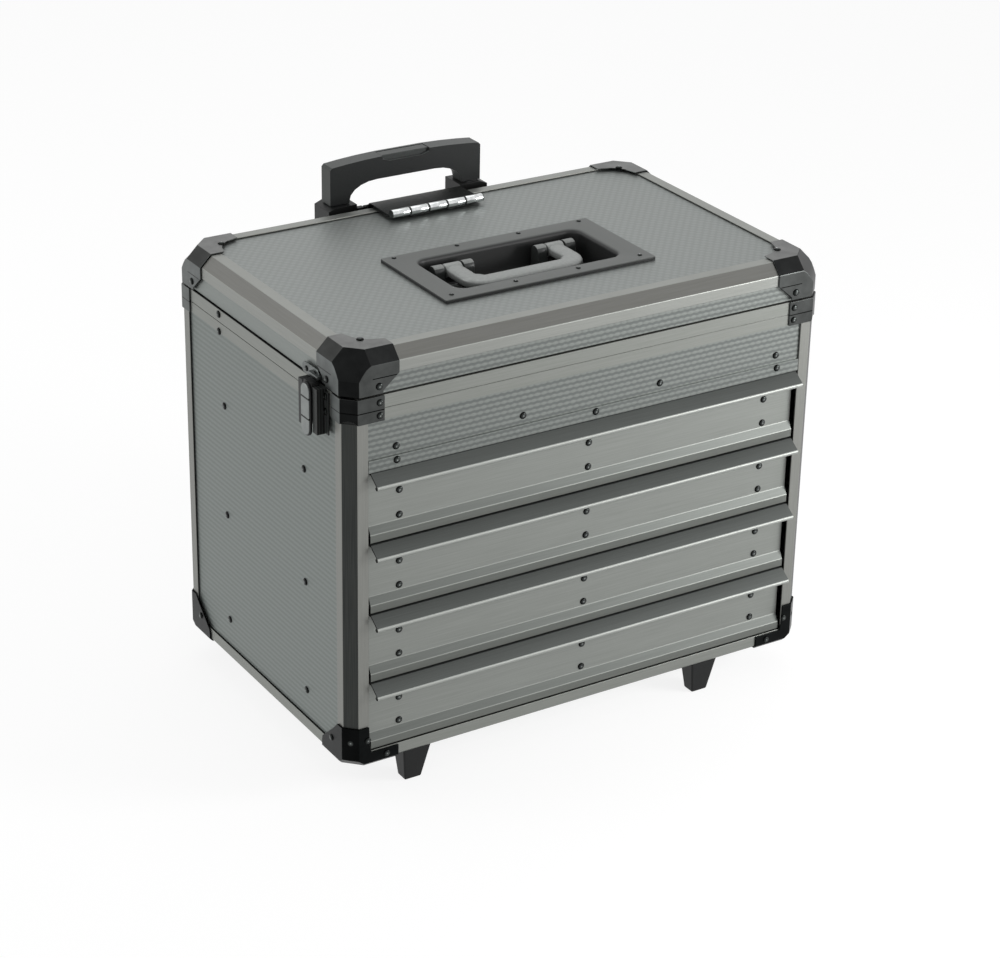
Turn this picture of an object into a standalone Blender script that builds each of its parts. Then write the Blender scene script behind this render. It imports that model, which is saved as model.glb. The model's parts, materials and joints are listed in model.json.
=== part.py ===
"""An aluminium tool trolley case: a lidded top compartment over four drawers, a carry handle sunk
in the lid, a telescopic handle behind it, two front feet and two rear wheels.

Metres. X runs to the right, Y to the back, Z up from the floor. Every object is one closed piece.
A moving piece has its origin on the axis that it turns about."""

import math

import bmesh
import bpy
import mathutils
import numpy as np

# The case.
CASE_WIDTH = 0.480
CASE_DEPTH = 0.310
BODY_HEIGHT = 0.3436
LID_HEIGHT = 0.0364
SPLIT_GAP = 0.001
FOOT_HEIGHT = 0.032

# Sheet metal and edge extrusions.
CHAMFER = 0.010
FLANGE = 0.020
EXTRUSION = 0.0015
PANEL = 0.0012
GAP = 0.0003
RIM_HEIGHT = 0.0216
RIM_LEDGE = 0.010
HEADER_HEIGHT = 0.0464
STRIP_HEIGHT = 0.011
SILL_HEIGHT = 0.012
SILL_BEVEL = 0.002

# Pressed corner caps, which stand a little proud of the extrusions.
CAP_SHEET = 0.0012
LID_CAP_REACH = 0.050
LID_CAP_CORNER = 0.0125
LID_CAP_FLARE = 0.011
LID_CORNER_CUT = 0.025
CLIP_FRONT_REACH = 0.0362
CLIP_SIDE_REACH = 0.026
BASE_CAP_REACH = 0.050
BASE_CAP_HEIGHT = 0.038
BASE_CAP_LEG = 0.0215
BASE_CAP_LEAN = 0.005
BASE_CORNER_CUT = 0.018

# Drawers.
DRAWER_COUNT = 4
DRAWER_GAP = 0.0018
DRAWER_SIDE_GAP = 0.0023
FACE_SETBACK = 0.005
PULL_REACH = 0.012
PULL_DROP = 0.0085
PULL_LIP = 0.0025
TRAY_REAR_GAP = 0.038
TRAY_SIDE_GAP = 0.004
RAIL_REACH = 0.008
RACK_INSET = 0.006

# The carry handle and its tray.
BEZEL_WIDTH = 0.214
BEZEL_DEPTH = 0.112
BEZEL_CENTRE = 0.124
BEZEL_HEIGHT = 0.003
TRAY_OPENING_WIDTH = 0.166
TRAY_OPENING_DEPTH = 0.0745
HANDLE_TRAY_DEEP = 0.0245
HANDLE_WIDTH = 0.123
HANDLE_LIMB = 0.0175
HANDLE_THICKNESS = 0.0095
HANDLE_PIVOT_SETBACK = 0.012
HANDLE_PIVOT_DROP = 0.008
HANDLE_KNUCKLE = 0.006
HANDLE_PIN = 0.0025
HANDLE_LENGTH = 0.0495
LUG_WIDTH = 0.010
LUG_CLEARANCE = 0.0012

# The lid hinge: a link plate with a barrel at each end.
HINGE_WIDTH = 0.097
BARREL_SETBACK = 0.0455
BARREL_RISE = 0.005
BARREL_RADIUS = 0.00375
HINGE_PIN = 0.0015
KNUCKLE_COUNT = 5
KNUCKLE_GAP = 0.0004
REAR_PIVOT_BEHIND = 0.004
REAR_PIVOT_DROP = 0.005
REAR_BARREL_RADIUS = 0.003
LINK_SHEET = 0.0015
LEAF_SHEET = 0.0012

# Latches, one on each side.
LATCH_CENTRE = 0.0495
LATCH_REACH = 0.012
LEVER_WIDTH = 0.0158
LEVER_TAIL = 0.0435
LEVER_SHEET = 0.003
LEVER_KNUCKLE = 0.0055
LEVER_PIVOT_DROP = 0.0021
LATCH_PIN = 0.002
BASE_WIDTH = 0.032
BASE_HEIGHT = 0.0405
BASE_PLATE_WIDTH = 0.042
BASE_DEPTH = 0.0092
STRIKE_WIDTH = 0.029
STRIKE_HEIGHT = 0.0105

# The telescopic handle.
TUBE_SPREAD = 0.070
TUBE_BEHIND = 0.0188
INNER_TUBE = 0.014
TUBE_WALL = 0.0012
OUTER_TUBE = 0.019
TUBE_FOOT = 0.009
TUBE_END_GAP = 0.008
SOCKET_WIDTH = 0.0295
SOCKET_DEPTH = 0.028
SOCKET_HEIGHT = 0.040
BRACKET_HEIGHT = 0.066
BRACKET_SHEET = 0.002
LID_CLEARANCE = 0.0013
GRIP_WIDTH = 0.160
GRIP_DEPTH = 0.0168
GRIP_END_HEIGHT = 0.0364
GRIP_RISE = 0.0034
GRIP_LEG = 0.020
GRIP_CORNER = 0.0022
GRIP_ARCH = 0.029
GRIP_ARCH_FOOT = 0.002
GRIP_BAR_UNDERSIDE = 0.0185
BUTTON_WIDTH = 0.050
BUTTON_DEPTH = 0.0105
BUTTON_HEIGHT = 0.008
BUTTON_TRAVEL = 0.0045

# Feet and wheels.
LEFT_FOOT_GAP = 0.007
RIGHT_FOOT_INSET = 0.116
FOOT_SETBACK = 0.005
FOOT_TOP_WIDTH = 0.0285
FOOT_TOP_DEPTH = 0.021
FOOT_TIP_WIDTH = 0.0165
FOOT_TIP_DEPTH = 0.013
FOOT_DRAFT = 0.0015
WHEEL_RADIUS = 0.028
WHEEL_WIDTH = 0.022
WHEEL_CLEARANCE = 0.0032
WHEEL_INSET = 0.070
AXLE_RADIUS = 0.004
HOUSING_SHEET = 0.003
HOUSING_SIDE_GAP = 0.0015

# Planes that the sizes above lead to.
PROUD = CAP_SHEET + GAP
SIDE = CASE_WIDTH / 2
AXLE_BEHIND = HOUSING_SHEET + GAP + WHEEL_CLEARANCE + WHEEL_RADIUS
FRONT = PULL_REACH - (PULL_REACH + CASE_DEPTH + AXLE_BEHIND + WHEEL_RADIUS) / 2
REAR = FRONT + CASE_DEPTH
BODY_BOTTOM = FOOT_HEIGHT
BODY_TOP = BODY_BOTTOM + BODY_HEIGHT
LID_BOTTOM = BODY_TOP + SPLIT_GAP
LID_TOP = LID_BOTTOM + LID_HEIGHT
RIM_BOTTOM = BODY_TOP - RIM_HEIGHT
OPENING_TOP = RIM_BOTTOM - HEADER_HEIGHT
OPENING_BOTTOM = BODY_BOTTOM + SILL_HEIGHT
DRAWER_PITCH = (OPENING_TOP - OPENING_BOTTOM) / DRAWER_COUNT
DRAWER_HEIGHT = DRAWER_PITCH - DRAWER_GAP
PANEL_INSET = EXTRUSION + GAP
INSIDE = PANEL_INSET + PANEL + GAP

SILVER = (0.62, 0.63, 0.61, 1.0, 0.35)
SHEET_GREY = (0.45, 0.46, 0.44, 1.0, 0.4)
BLACK = (0.02, 0.021, 0.021, 0.0, 0.5)
DARK_STEEL = (0.09, 0.09, 0.09, 1.0, 0.35)
CHROME = (0.75, 0.76, 0.77, 1.0, 0.12)
ZINC = (0.5, 0.5, 0.5, 1.0, 0.3)
RUBBER = (0.015, 0.015, 0.015, 0.0, 0.8)


def paint(obj, look):
    """Gives the piece its own material: red, green, blue, metallic and roughness."""
    material = bpy.data.materials.new(obj.name)
    material.use_nodes = True
    shader = material.node_tree.nodes["Principled BSDF"]
    shader.inputs["Base Color"].default_value = (*look[:3], 1.0)
    shader.inputs["Metallic"].default_value = look[3]
    shader.inputs["Roughness"].default_value = look[4]
    obj.data.materials.clear()
    obj.data.materials.append(material)
    return obj


def solid(name, points, faces):
    """A closed piece from points and faces, with its faces turned outwards."""
    mesh = bpy.data.meshes.new(name)
    mesh.from_pydata([tuple(float(value) for value in point) for point in points], [], faces)
    tidy = bmesh.new()
    tidy.from_mesh(mesh)
    bmesh.ops.recalc_face_normals(tidy, faces=tidy.faces)
    tidy.to_mesh(mesh)
    tidy.free()
    obj = bpy.data.objects.new(name, mesh)
    bpy.context.scene.collection.objects.link(obj)
    return obj


def prism(name, axis, outline, start, end):
    """A flat outline pushed along X, Y or Z. The outline holds the other two coordinates in order."""
    across = ["XYZ".index(letter) for letter in "XYZ" if letter != axis]
    points = np.zeros((2, len(outline), 3))
    points[:, :, across] = outline
    points[0, :, "XYZ".index(axis)] = start
    points[1, :, "XYZ".index(axis)] = end
    count = len(outline)
    sides = [(i, (i + 1) % count, count + (i + 1) % count, count + i) for i in range(count)]
    faces = [tuple(range(count)), tuple(range(count, 2 * count)), *sides]
    return solid(name, points.reshape(-1, 3), faces)


def box(name, x, y, z):
    """A block between two values on each axis."""
    return prism(name, "Z", [(x[0], y[0]), (x[1], y[0]), (x[1], y[1]), (x[0], y[1])], z[0], z[1])


def circle(across, up, radius, sides=24):
    """Points round a circle, for an outline."""
    turns = [2 * math.pi * (i + 0.5) / sides for i in range(sides)]
    return [(across + radius * math.cos(turn), up + radius * math.sin(turn)) for turn in turns]


def rod(name, axis, centre, radius, start, end, sides=24):
    """A round bar along X, Y or Z."""
    return smooth(prism(name, axis, circle(*centre, radius, sides), start, end))


def lathe(name, profile, centre, sides=32):
    """A closed profile of (radius, x) pairs turned about a line along X through (y, z)."""
    turns = [2 * math.pi * i / sides for i in range(sides)]
    points = [(x, centre[0] + r * math.cos(t), centre[1] + r * math.sin(t)) for t in turns for r, x in profile]
    count = len(profile)
    faces = []
    for i in range(sides):
        here, there = i * count, (i + 1) % sides * count
        faces += [(here + j, here + (j + 1) % count, there + (j + 1) % count, there + j) for j in range(count)]
    return smooth(solid(name, points, faces))


def smooth(obj):
    """Shades round faces smooth and keeps edges over 30 degrees sharp."""
    obj.data.shade_smooth()
    obj.data.set_sharp_from_angle(angle=math.radians(30))
    return obj


def chamfered(inset, corner):
    """The outline of the case seen from above with its corners cut, moved in by an even distance."""
    cut = max(corner - inset * (2 - math.sqrt(2)), 0.0005)
    x, front, rear = SIDE - inset, FRONT + inset, REAR - inset
    return [
        (-x + cut, front), (x - cut, front), (x, front + cut), (x, rear - cut),
        (x - cut, rear), (-x + cut, rear), (-x, rear - cut), (-x, front + cut),
    ]


def hoop(name, section, corner=CHAMFER):
    """An extrusion mitred round the case. The section holds (distance in from the face, height)."""
    loops = [[(x, y, height) for x, y in chamfered(inset, corner)] for inset, height in section]
    points = [point for loop in loops for point in loop]
    faces = []
    for i in range(len(section)):
        here, there = 8 * i, 8 * ((i + 1) % len(section))
        faces += [(here + j, here + (j + 1) % 8, there + (j + 1) % 8, there + j) for j in range(8)]
    return solid(name, points, faces)


def deck(name, inset, low, high, corner=CHAMFER):
    """A flat sheet that fills the case outline."""
    return prism(name, "Z", chamfered(inset, corner), low, high)


def pressing(name, points, faces, thickness):
    """A pressed sheet of even thickness behind outer faces that look away from the middle of the case."""
    points = np.array(points)
    middle = np.array([0, (FRONT + REAR) / 2, (BODY_BOTTOM + LID_TOP) / 2])
    outer, owners = [], [[] for _ in points]
    for face in faces:
        corners = points[list(face)]
        normal = np.cross(corners, np.roll(corners, -1, axis=0)).sum(axis=0)
        normal /= np.linalg.norm(normal)
        if normal @ (corners.mean(axis=0) - middle) < 0:
            face, normal = face[::-1], -normal
        outer.append(list(face))
        for index in face:
            owners[index].append(normal)
    steps = [np.linalg.pinv(np.array(around), rcond=1e-6) @ np.full(len(around), thickness) for around in owners]
    count = len(points)
    edges = {edge for face in outer for edge in zip(face, face[1:] + face[:1])}
    walls = [(j, i, count + i, count + j) for i, j in edges if (j, i) not in edges]
    inner = [[count + index for index in reversed(face)] for face in outer]
    return solid(name, np.concatenate([points, points - np.array(steps)]), [*outer, *inner, *walls])


def combined(obj, operation, tools):
    """Joins other pieces to this one or cuts them out of it, and removes them."""
    for tool in tools:
        modifier = obj.modifiers.new(tool.name, "BOOLEAN")
        modifier.operation = operation
        modifier.solver = "EXACT"
        modifier.object = tool
    graph = bpy.context.evaluated_depsgraph_get()
    obj.data = bpy.data.meshes.new_from_object(obj.evaluated_get(graph))
    obj.modifiers.clear()
    for tool in tools:
        bpy.data.objects.remove(tool)
    return obj


def join(obj, *tools):
    return combined(obj, "UNION", tools)


def cut(obj, *tools):
    return combined(obj, "DIFFERENCE", tools)


def pivot(obj, point):
    """Moves the piece's origin to a point on its axis and leaves its shape where it is."""
    obj.data.transform(mathutils.Matrix.Translation(point).inverted())
    obj.location = point
    return obj


def corner_point(side, end, across, along, height):
    """A point near a case corner, measured in from the planes that the caps' outer faces lie in."""
    y = FRONT - PROUD + along if end < 0 else REAR + PROUD - along
    return (side * (SIDE + PROUD - across), y, height)


def body_shell():
    """The fixed sheets, extrusions and corner hardware of the body."""
    rim_step = EXTRUSION * 0.4
    band_line = BODY_TOP - RIM_HEIGHT * 0.54
    paint(
        hoop("body_rim_frame", [
            (0, BODY_TOP), (0, band_line + rim_step / 2), (rim_step, band_line + rim_step / 2),
            (rim_step, band_line - rim_step / 2), (0, band_line - rim_step / 2), (0, RIM_BOTTOM),
            (EXTRUSION, RIM_BOTTOM), (EXTRUSION, BODY_TOP - EXTRUSION),
            (RIM_LEDGE, BODY_TOP - EXTRUSION), (RIM_LEDGE, BODY_TOP),
        ]),
        SILVER,
    )
    slope = EXTRUSION * (math.sqrt(2) - 1)
    paint(
        hoop("bottom_frame", [
            (0, OPENING_BOTTOM), (0, BODY_BOTTOM + SILL_BEVEL), (SILL_BEVEL, BODY_BOTTOM), (FLANGE, BODY_BOTTOM),
            (FLANGE, BODY_BOTTOM + EXTRUSION), (SILL_BEVEL + slope, BODY_BOTTOM + EXTRUSION),
            (EXTRUSION, BODY_BOTTOM + SILL_BEVEL + slope), (EXTRUSION, OPENING_BOTTOM),
        ], BASE_CORNER_CUT),
        SILVER,
    )
    floor_low = BODY_BOTTOM + EXTRUSION + GAP
    floor_inset = PANEL_INSET + SILL_BEVEL
    paint(deck("bottom_panel", floor_inset, floor_low, floor_low + PANEL, BASE_CORNER_CUT), SHEET_GREY)
    wall_low = OPENING_BOTTOM + GAP
    wall_high = BODY_TOP - EXTRUSION - GAP
    wall_end = CHAMFER + PANEL_INSET + PANEL
    for side, name in ((-1, "left_side_panel"), (1, "right_side_panel")):
        sheet = sorted((side * (SIDE - PANEL_INSET), side * (SIDE - PANEL_INSET - PANEL)))
        paint(box(name, sheet, (FRONT + wall_end, REAR - wall_end), (wall_low, wall_high)), SHEET_GREY)
    paint(
        box("rear_panel", (-SIDE + wall_end, SIDE - wall_end),
            (REAR - PANEL_INSET - PANEL, REAR - PANEL_INSET), (wall_low, wall_high)),
        SHEET_GREY,
    )
    header = box("front_header_panel", (-SIDE + wall_end, SIDE - wall_end),
                 (FRONT + PANEL_INSET, FRONT + PANEL_INSET + PANEL), (OPENING_TOP, wall_high))
    strip = box("strip", (-SIDE + FLANGE + GAP, SIDE - FLANGE - GAP),
                (FRONT + GAP, FRONT + PANEL_INSET + PANEL / 2), (OPENING_TOP, OPENING_TOP + STRIP_HEIGHT))
    shelf = box("shelf", (-SIDE + wall_end, SIDE - wall_end),
                (FRONT + PANEL_INSET, FRONT + FLANGE), (OPENING_TOP, OPENING_TOP + PANEL))
    paint(join(header, strip, shelf), SHEET_GREY)
    deck_low = OPENING_TOP + PANEL + GAP
    paint(deck("compartment_floor", INSIDE, deck_low, deck_low + PANEL), SHEET_GREY)

    inner = CHAMFER + EXTRUSION * (math.sqrt(2) - 1)
    for side, end, name in ((-1, -1, "front_left"), (1, -1, "front_right"), (-1, 1, "rear_left"), (1, 1, "rear_right")):
        angle = [(0, FLANGE), (0, CHAMFER), (CHAMFER, 0), (FLANGE, 0),
                 (FLANGE, EXTRUSION), (inner, EXTRUSION), (EXTRUSION, inner), (EXTRUSION, FLANGE)]
        outline = [corner_point(side, end, a + PROUD, b + PROUD, 0)[:2] for a, b in angle]
        paint(prism("corner_post_" + name, "Z", outline, OPENING_BOTTOM + GAP, RIM_BOTTOM - GAP), SILVER)
        rim_clip(side, end, name)
        base_cap(side, end, name)


def rim_clip(side, end, name):
    """The clip that wraps a corner of the body rim."""
    turn = CHAMFER + PROUD * (2 - math.sqrt(2))
    low, high = RIM_BOTTOM - PROUD / 2, BODY_TOP + GAP
    spots = [(CLIP_FRONT_REACH, 0), (turn, 0), (0, turn), (0, CLIP_SIDE_REACH)]
    points = [corner_point(side, end, a, b, z) for z in (low, high) for a, b in spots]
    arch = ((0.2, 0.11), (0.5, 0.16), (0.8, 0.11))
    points += [corner_point(side, end, turn * (1 - t), turn * t, low + rise * RIM_HEIGHT) for t, rise in arch]
    faces = [(0, 1, 5, 4), (1, 8, 9, 10, 2, 6, 5), (2, 3, 7, 6)]
    paint(pressing("rim_corner_clip_" + name, points, faces, CAP_SHEET), DARK_STEEL)


def base_cap(side, end, name):
    """The cap over a bottom corner: a leg up the post, a foot along each bottom edge and a sole."""
    turn = CHAMFER + PROUD * (2 - math.sqrt(2))
    bevel = SILL_BEVEL + PROUD * (2 - math.sqrt(2))
    low, top = BODY_BOTTOM - PROUD, BODY_BOTTOM - PROUD + BASE_CAP_HEIGHT
    brow, shin, sill = low + bevel, low + bevel + 0.1 * BASE_CAP_HEIGHT, OPENING_BOTTOM - 2 * GAP
    ankle, bend = turn + BASE_CAP_LEAN, 0.43 * BASE_CAP_REACH + 0.25 * BASE_CAP_LEG
    upright = [(BASE_CAP_REACH, brow), (BASE_CAP_REACH, sill), (1.08 * BASE_CAP_LEG, sill),
               (BASE_CAP_LEG, sill + 0.3 * (top - sill)), (0.98 * BASE_CAP_LEG, top), (turn, top), (turn, shin), (ankle, brow)]
    beside = [(0.95 * BASE_CAP_REACH, brow), (0.95 * BASE_CAP_REACH, sill - 0.4 * SILL_HEIGHT),
              (0.93 * BASE_CAP_REACH, sill), (bend, top - 0.3 * (top - sill)), (0.92 * BASE_CAP_LEG, top),
              (turn, top), (turn, shin), (ankle, brow)]
    points = [corner_point(side, end, a, 0, z) for a, z in upright]
    points += [corner_point(side, end, 0, b, z) for b, z in beside]
    heel, sole = ankle + bevel * (BASE_CAP_LEAN / (shin - brow) - 1), BASE_CAP_LEG * 0.6
    points += [corner_point(side, end, a, b, low) for a, b in
               ((heel, bevel), (BASE_CAP_REACH, bevel), (BASE_CAP_REACH, sole), (bend, bend),
                (sole, 0.95 * BASE_CAP_REACH), (bevel, 0.95 * BASE_CAP_REACH), (bevel, heel))]
    faces = [tuple(range(8)), tuple(range(8, 16)), tuple(range(16, 23)), (6, 5, 13, 14),
             (7, 0, 17, 16), (15, 8, 21, 22), (6, 14, 15, 22, 16, 7)]
    paint(pressing("bottom_corner_cap_" + name, points, faces, CAP_SHEET), DARK_STEEL)


def lid_corner(side, end, name):
    """The cap over a lid corner, with the corner itself cut back by two sloping facets."""
    turn = CHAMFER + PROUD * (2 - math.sqrt(2))
    top, brow = LID_TOP + PROUD, LID_TOP + PROUD - turn
    waist, foot = LID_TOP - 0.6 * LID_HEIGHT, LID_BOTTOM + 3 * GAP
    reach = LID_CAP_REACH
    curve = [(LID_CAP_CORNER + LID_CAP_FLARE * flare, waist + (brow - waist) * rise)
             for flare, rise in ((0, 0), (0.27, 0.39), (0.64, 0.79), (1, 1))]
    wide = curve[-1][0]
    face = [(reach, brow), (reach, LID_TOP - FLANGE), (0.7 * reach, LID_BOTTOM + 0.0034),
            (0.7 * reach, foot), (LID_CAP_CORNER, foot), *curve]
    points = [corner_point(side, end, a, 0, z) for a, z in face]
    points += [corner_point(side, end, 0, b, z) for b, z in face]
    crown = [(wide, turn), (reach, turn), (reach, 0.48 * reach), (0.78 * reach, 0.55 * reach),
             (0.64 * reach, 0.64 * reach), (0.55 * reach, 0.78 * reach), (0.48 * reach, reach),
             (turn, reach), (turn, wide)]
    points += [corner_point(side, end, a, b, top) for a, b in crown]
    faces = [
        tuple(range(9)), tuple(range(9, 18)), tuple(range(18, 27)),
        (8, 0, 19, 18), (17, 9, 25, 26), (4, 5, 14, 13), (5, 6, 15, 14), (6, 7, 16, 15), (7, 8, 17, 16),
        (8, 18, 26, 17),
    ]
    return paint(pressing("lid_corner_" + name, points, faces, CAP_SHEET), DARK_STEEL)


def lid():
    """The lid: chamfered frame, embossed sheets, corner caps, strikes, handle tray and hinge leaf."""
    slope = EXTRUSION * (math.sqrt(2) - 1)
    frame = hoop("lid_frame", [
        (0, LID_TOP - FLANGE), (0, LID_TOP - CHAMFER), (CHAMFER, LID_TOP), (FLANGE, LID_TOP),
        (FLANGE, LID_TOP - EXTRUSION), (CHAMFER + slope, LID_TOP - EXTRUSION),
        (EXTRUSION, LID_TOP - CHAMFER - slope), (EXTRUSION, LID_TOP - FLANGE),
    ], LID_CORNER_CUT)
    pieces = [paint(frame, SILVER)]
    skirt_high = LID_TOP - CHAMFER - 3 * EXTRUSION
    skirt = hoop("lid_skirt", [
        (PANEL_INSET, LID_BOTTOM), (PANEL_INSET + PANEL, LID_BOTTOM),
        (PANEL_INSET + PANEL, skirt_high), (PANEL_INSET, skirt_high),
    ], LID_CORNER_CUT)
    pieces.append(paint(skirt, SHEET_GREY))

    sheet_high = LID_TOP - EXTRUSION - GAP
    middle = FRONT + BEZEL_CENTRE
    half_x, half_y = TRAY_OPENING_WIDTH / 2, TRAY_OPENING_DEPTH / 2
    wall_x, wall_y = half_x + EXTRUSION, half_y + EXTRUSION
    panel = deck("lid_top_panel", CHAMFER + EXTRUSION, sheet_high - PANEL, sheet_high, LID_CORNER_CUT)
    hole = box("hole", (-wall_x - GAP, wall_x + GAP), (middle - wall_y - GAP, middle + wall_y + GAP),
               (sheet_high - 2 * PANEL, sheet_high + PANEL))
    pieces.append(paint(cut(panel, hole), SHEET_GREY))

    bezel_low = sheet_high + GAP
    tray_low = bezel_low - HANDLE_TRAY_DEEP
    tray = box("handle_tray", (-BEZEL_WIDTH / 2, BEZEL_WIDTH / 2),
               (middle - BEZEL_DEPTH / 2, middle + BEZEL_DEPTH / 2), (bezel_low, bezel_low + BEZEL_HEIGHT))
    dish = box("dish", (-wall_x, wall_x), (middle - wall_y, middle + wall_y),
               (tray_low - EXTRUSION, bezel_low + BEZEL_HEIGHT / 2))
    well = box("well", (-half_x, half_x), (middle - half_y, middle + half_y),
               (tray_low, bezel_low + 2 * BEZEL_HEIGHT))
    tray = cut(join(tray, dish), well)
    axis = (middle + half_y - HANDLE_PIVOT_SETBACK, LID_TOP - HANDLE_PIVOT_DROP)
    arm_out, arm_in = HANDLE_WIDTH / 2, HANDLE_WIDTH / 2 - HANDLE_LIMB
    lugs = []
    lug_half = HANDLE_KNUCKLE * 0.9
    for side in (-1, 1):
        for start in (arm_out + LUG_CLEARANCE, arm_in - LUG_CLEARANCE - LUG_WIDTH):
            x = sorted((side * start, side * (start + LUG_WIDTH)))
            shape = [(axis[0] - lug_half, tray_low - EXTRUSION / 2), (axis[0] + lug_half, tray_low - EXTRUSION / 2),
                     (axis[0] + lug_half, axis[1]), (axis[0] + lug_half / 2, axis[1] + lug_half),
                     (axis[0] - lug_half / 2, axis[1] + lug_half), (axis[0] - lug_half, axis[1])]
            lugs.append(prism("lug", "X", shape, *x))
        ends = sorted((side * (arm_in - LUG_CLEARANCE - LUG_WIDTH / 2), side * (arm_out + LUG_CLEARANCE + LUG_WIDTH / 2)))
        lugs.append(rod("pin", "X", axis, HANDLE_PIN, *ends, sides=16))
    pieces.append(paint(join(tray, *lugs), BLACK))
    carry_handle(axis, arm_out, arm_in)

    for side, name in ((-1, "left"), (1, "right")):
        x = sorted((side * (SIDE + GAP), side * (SIDE + PROUD)))
        start = FRONT + LID_CAP_REACH * 0.88
        strike = box("latch_strike_" + name, x, (start, start + STRIKE_WIDTH),
                     (LID_BOTTOM + GAP, LID_BOTTOM + STRIKE_HEIGHT))
        catch = sorted((side * (SIDE + GAP), side * (SIDE + 3 * PROUD)))
        lip = box("lip", catch, (FRONT + LATCH_CENTRE - LEVER_WIDTH / 2, FRONT + LATCH_CENTRE + LEVER_WIDTH / 2),
                  (LID_BOTTOM + STRIKE_HEIGHT / 2, LID_BOTTOM + STRIKE_HEIGHT / 2 + PROUD))
        pieces.append(paint(join(strike, lip), ZINC))
    for side, end, name in ((-1, -1, "front_left"), (1, -1, "front_right"), (-1, 1, "rear_left"), (1, 1, "rear_right")):
        pieces.append(lid_corner(side, end, name))
    pieces.append(lid_leaf())
    for piece in pieces:
        pivot(piece, (0, REAR - BARREL_SETBACK, LID_TOP + BARREL_RISE))


def carry_handle(axis, arm_out, arm_in):
    """The bail that folds into the tray: two arms, a bar and a bored knuckle on each arm."""
    front = axis[0] - HANDLE_LENGTH
    bend = HANDLE_LIMB / 3
    back = front + HANDLE_LIMB
    outline = [
        (-arm_out, axis[0]), (-arm_out, front + bend), (-arm_out + bend, front),
        (arm_out - bend, front), (arm_out, front + bend), (arm_out, axis[0]),
        (arm_in, axis[0]), (arm_in, back + bend), (arm_in - bend, back),
        (-arm_in + bend, back), (-arm_in, back + bend), (-arm_in, axis[0]),
    ]
    low = axis[1] - HANDLE_THICKNESS / 2
    handle = prism("carry_handle", "Z", outline, low, low + HANDLE_THICKNESS)
    knuckles, bores = [], []
    for side in (-1, 1):
        ends = sorted((side * arm_in, side * arm_out))
        knuckles.append(rod("knuckle", "X", axis, HANDLE_KNUCKLE, *ends))
        bores.append(rod("bore", "X", axis, HANDLE_PIN + GAP, ends[0] - GAP, ends[1] + GAP, sides=16))
    paint(smooth(cut(join(handle, *knuckles), *bores)), ZINC)
    pivot(handle, (0, *axis))


def knuckle_spans():
    """The (start, end) of each hinge knuckle along X, with the gap between neighbours taken off."""
    width = HINGE_WIDTH / KNUCKLE_COUNT
    starts = [-HINGE_WIDTH / 2 + i * width for i in range(KNUCKLE_COUNT)]
    return [(start + KNUCKLE_GAP / 2, start + width - KNUCKLE_GAP / 2) for start in starts]


def lid_leaf():
    """The hinge leaf on the lid, under the link plate, with the second and fourth knuckles."""
    y, z = REAR - BARREL_SETBACK, LID_TOP + BARREL_RISE
    low = LID_TOP + GAP
    leaf = box("lid_hinge_leaf", (-HINGE_WIDTH / 2, HINGE_WIDTH / 2),
               (y + BARREL_RADIUS, REAR - CHAMFER - 2 * EXTRUSION), (low, low + LEAF_SHEET))
    added, bores = [], []
    for start, end in knuckle_spans()[1::2]:
        added.append(box("finger", (start, end), (y - BARREL_RADIUS / 3, y + BARREL_RADIUS + LEAF_SHEET / 2),
                         (low, low + LEAF_SHEET)))
        added.append(box("web", (start, end), (y - BARREL_RADIUS / 3, y + BARREL_RADIUS / 3),
                         (low, z - BARREL_RADIUS / 2)))
        added.append(rod("knuckle", "X", (y, z), BARREL_RADIUS, start, end))
        bores.append(rod("bore", "X", (y, z), HINGE_PIN + GAP, start - GAP, end + GAP, sides=16))
    return paint(smooth(cut(join(leaf, *added), *bores)), CHROME)


def hinge_link():
    """The link plate: front knuckles and pin at the lid, and a bored barrel on the body's pin behind."""
    y, z = REAR - BARREL_SETBACK, LID_TOP + BARREL_RISE
    rear_y, rear_z = REAR + REAR_PIVOT_BEHIND, LID_TOP - REAR_PIVOT_DROP
    low = LID_TOP + GAP + LEAF_SHEET + 2 * GAP
    high = low + LINK_SHEET
    brow = REAR - 0.7 * CHAMFER
    section = [
        (y + BARREL_RADIUS + 2 * GAP, low), (brow, low), (rear_y - LINK_SHEET, rear_z - LINK_SHEET * 0.7),
        (rear_y, rear_z + LINK_SHEET * 0.3), (brow + 0.4 * LINK_SHEET, high), (y + BARREL_RADIUS + 2 * GAP, high),
    ]
    half = HINGE_WIDTH / 2
    link = prism("hinge_link_plate", "X", section, -half, half)
    added = [rod("rear_barrel", "X", (rear_y, rear_z), REAR_BARREL_RADIUS, -half, half),
             rod("pin", "X", (y, z), HINGE_PIN, -half + GAP, half - GAP, sides=16)]
    for start, end in knuckle_spans()[::2]:
        added.append(box("finger", (start, end), (y, y + BARREL_RADIUS + 3 * GAP), (low, high)))
        added.append(rod("knuckle", "X", (y, z), BARREL_RADIUS, start, end))
    bore = rod("bore", "X", (rear_y, rear_z), HINGE_PIN + GAP, -half - GAP, half + GAP, sides=16)
    paint(smooth(cut(join(link, *added), bore)), DARK_STEEL)
    pivot(link, (0, rear_y, rear_z))


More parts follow.
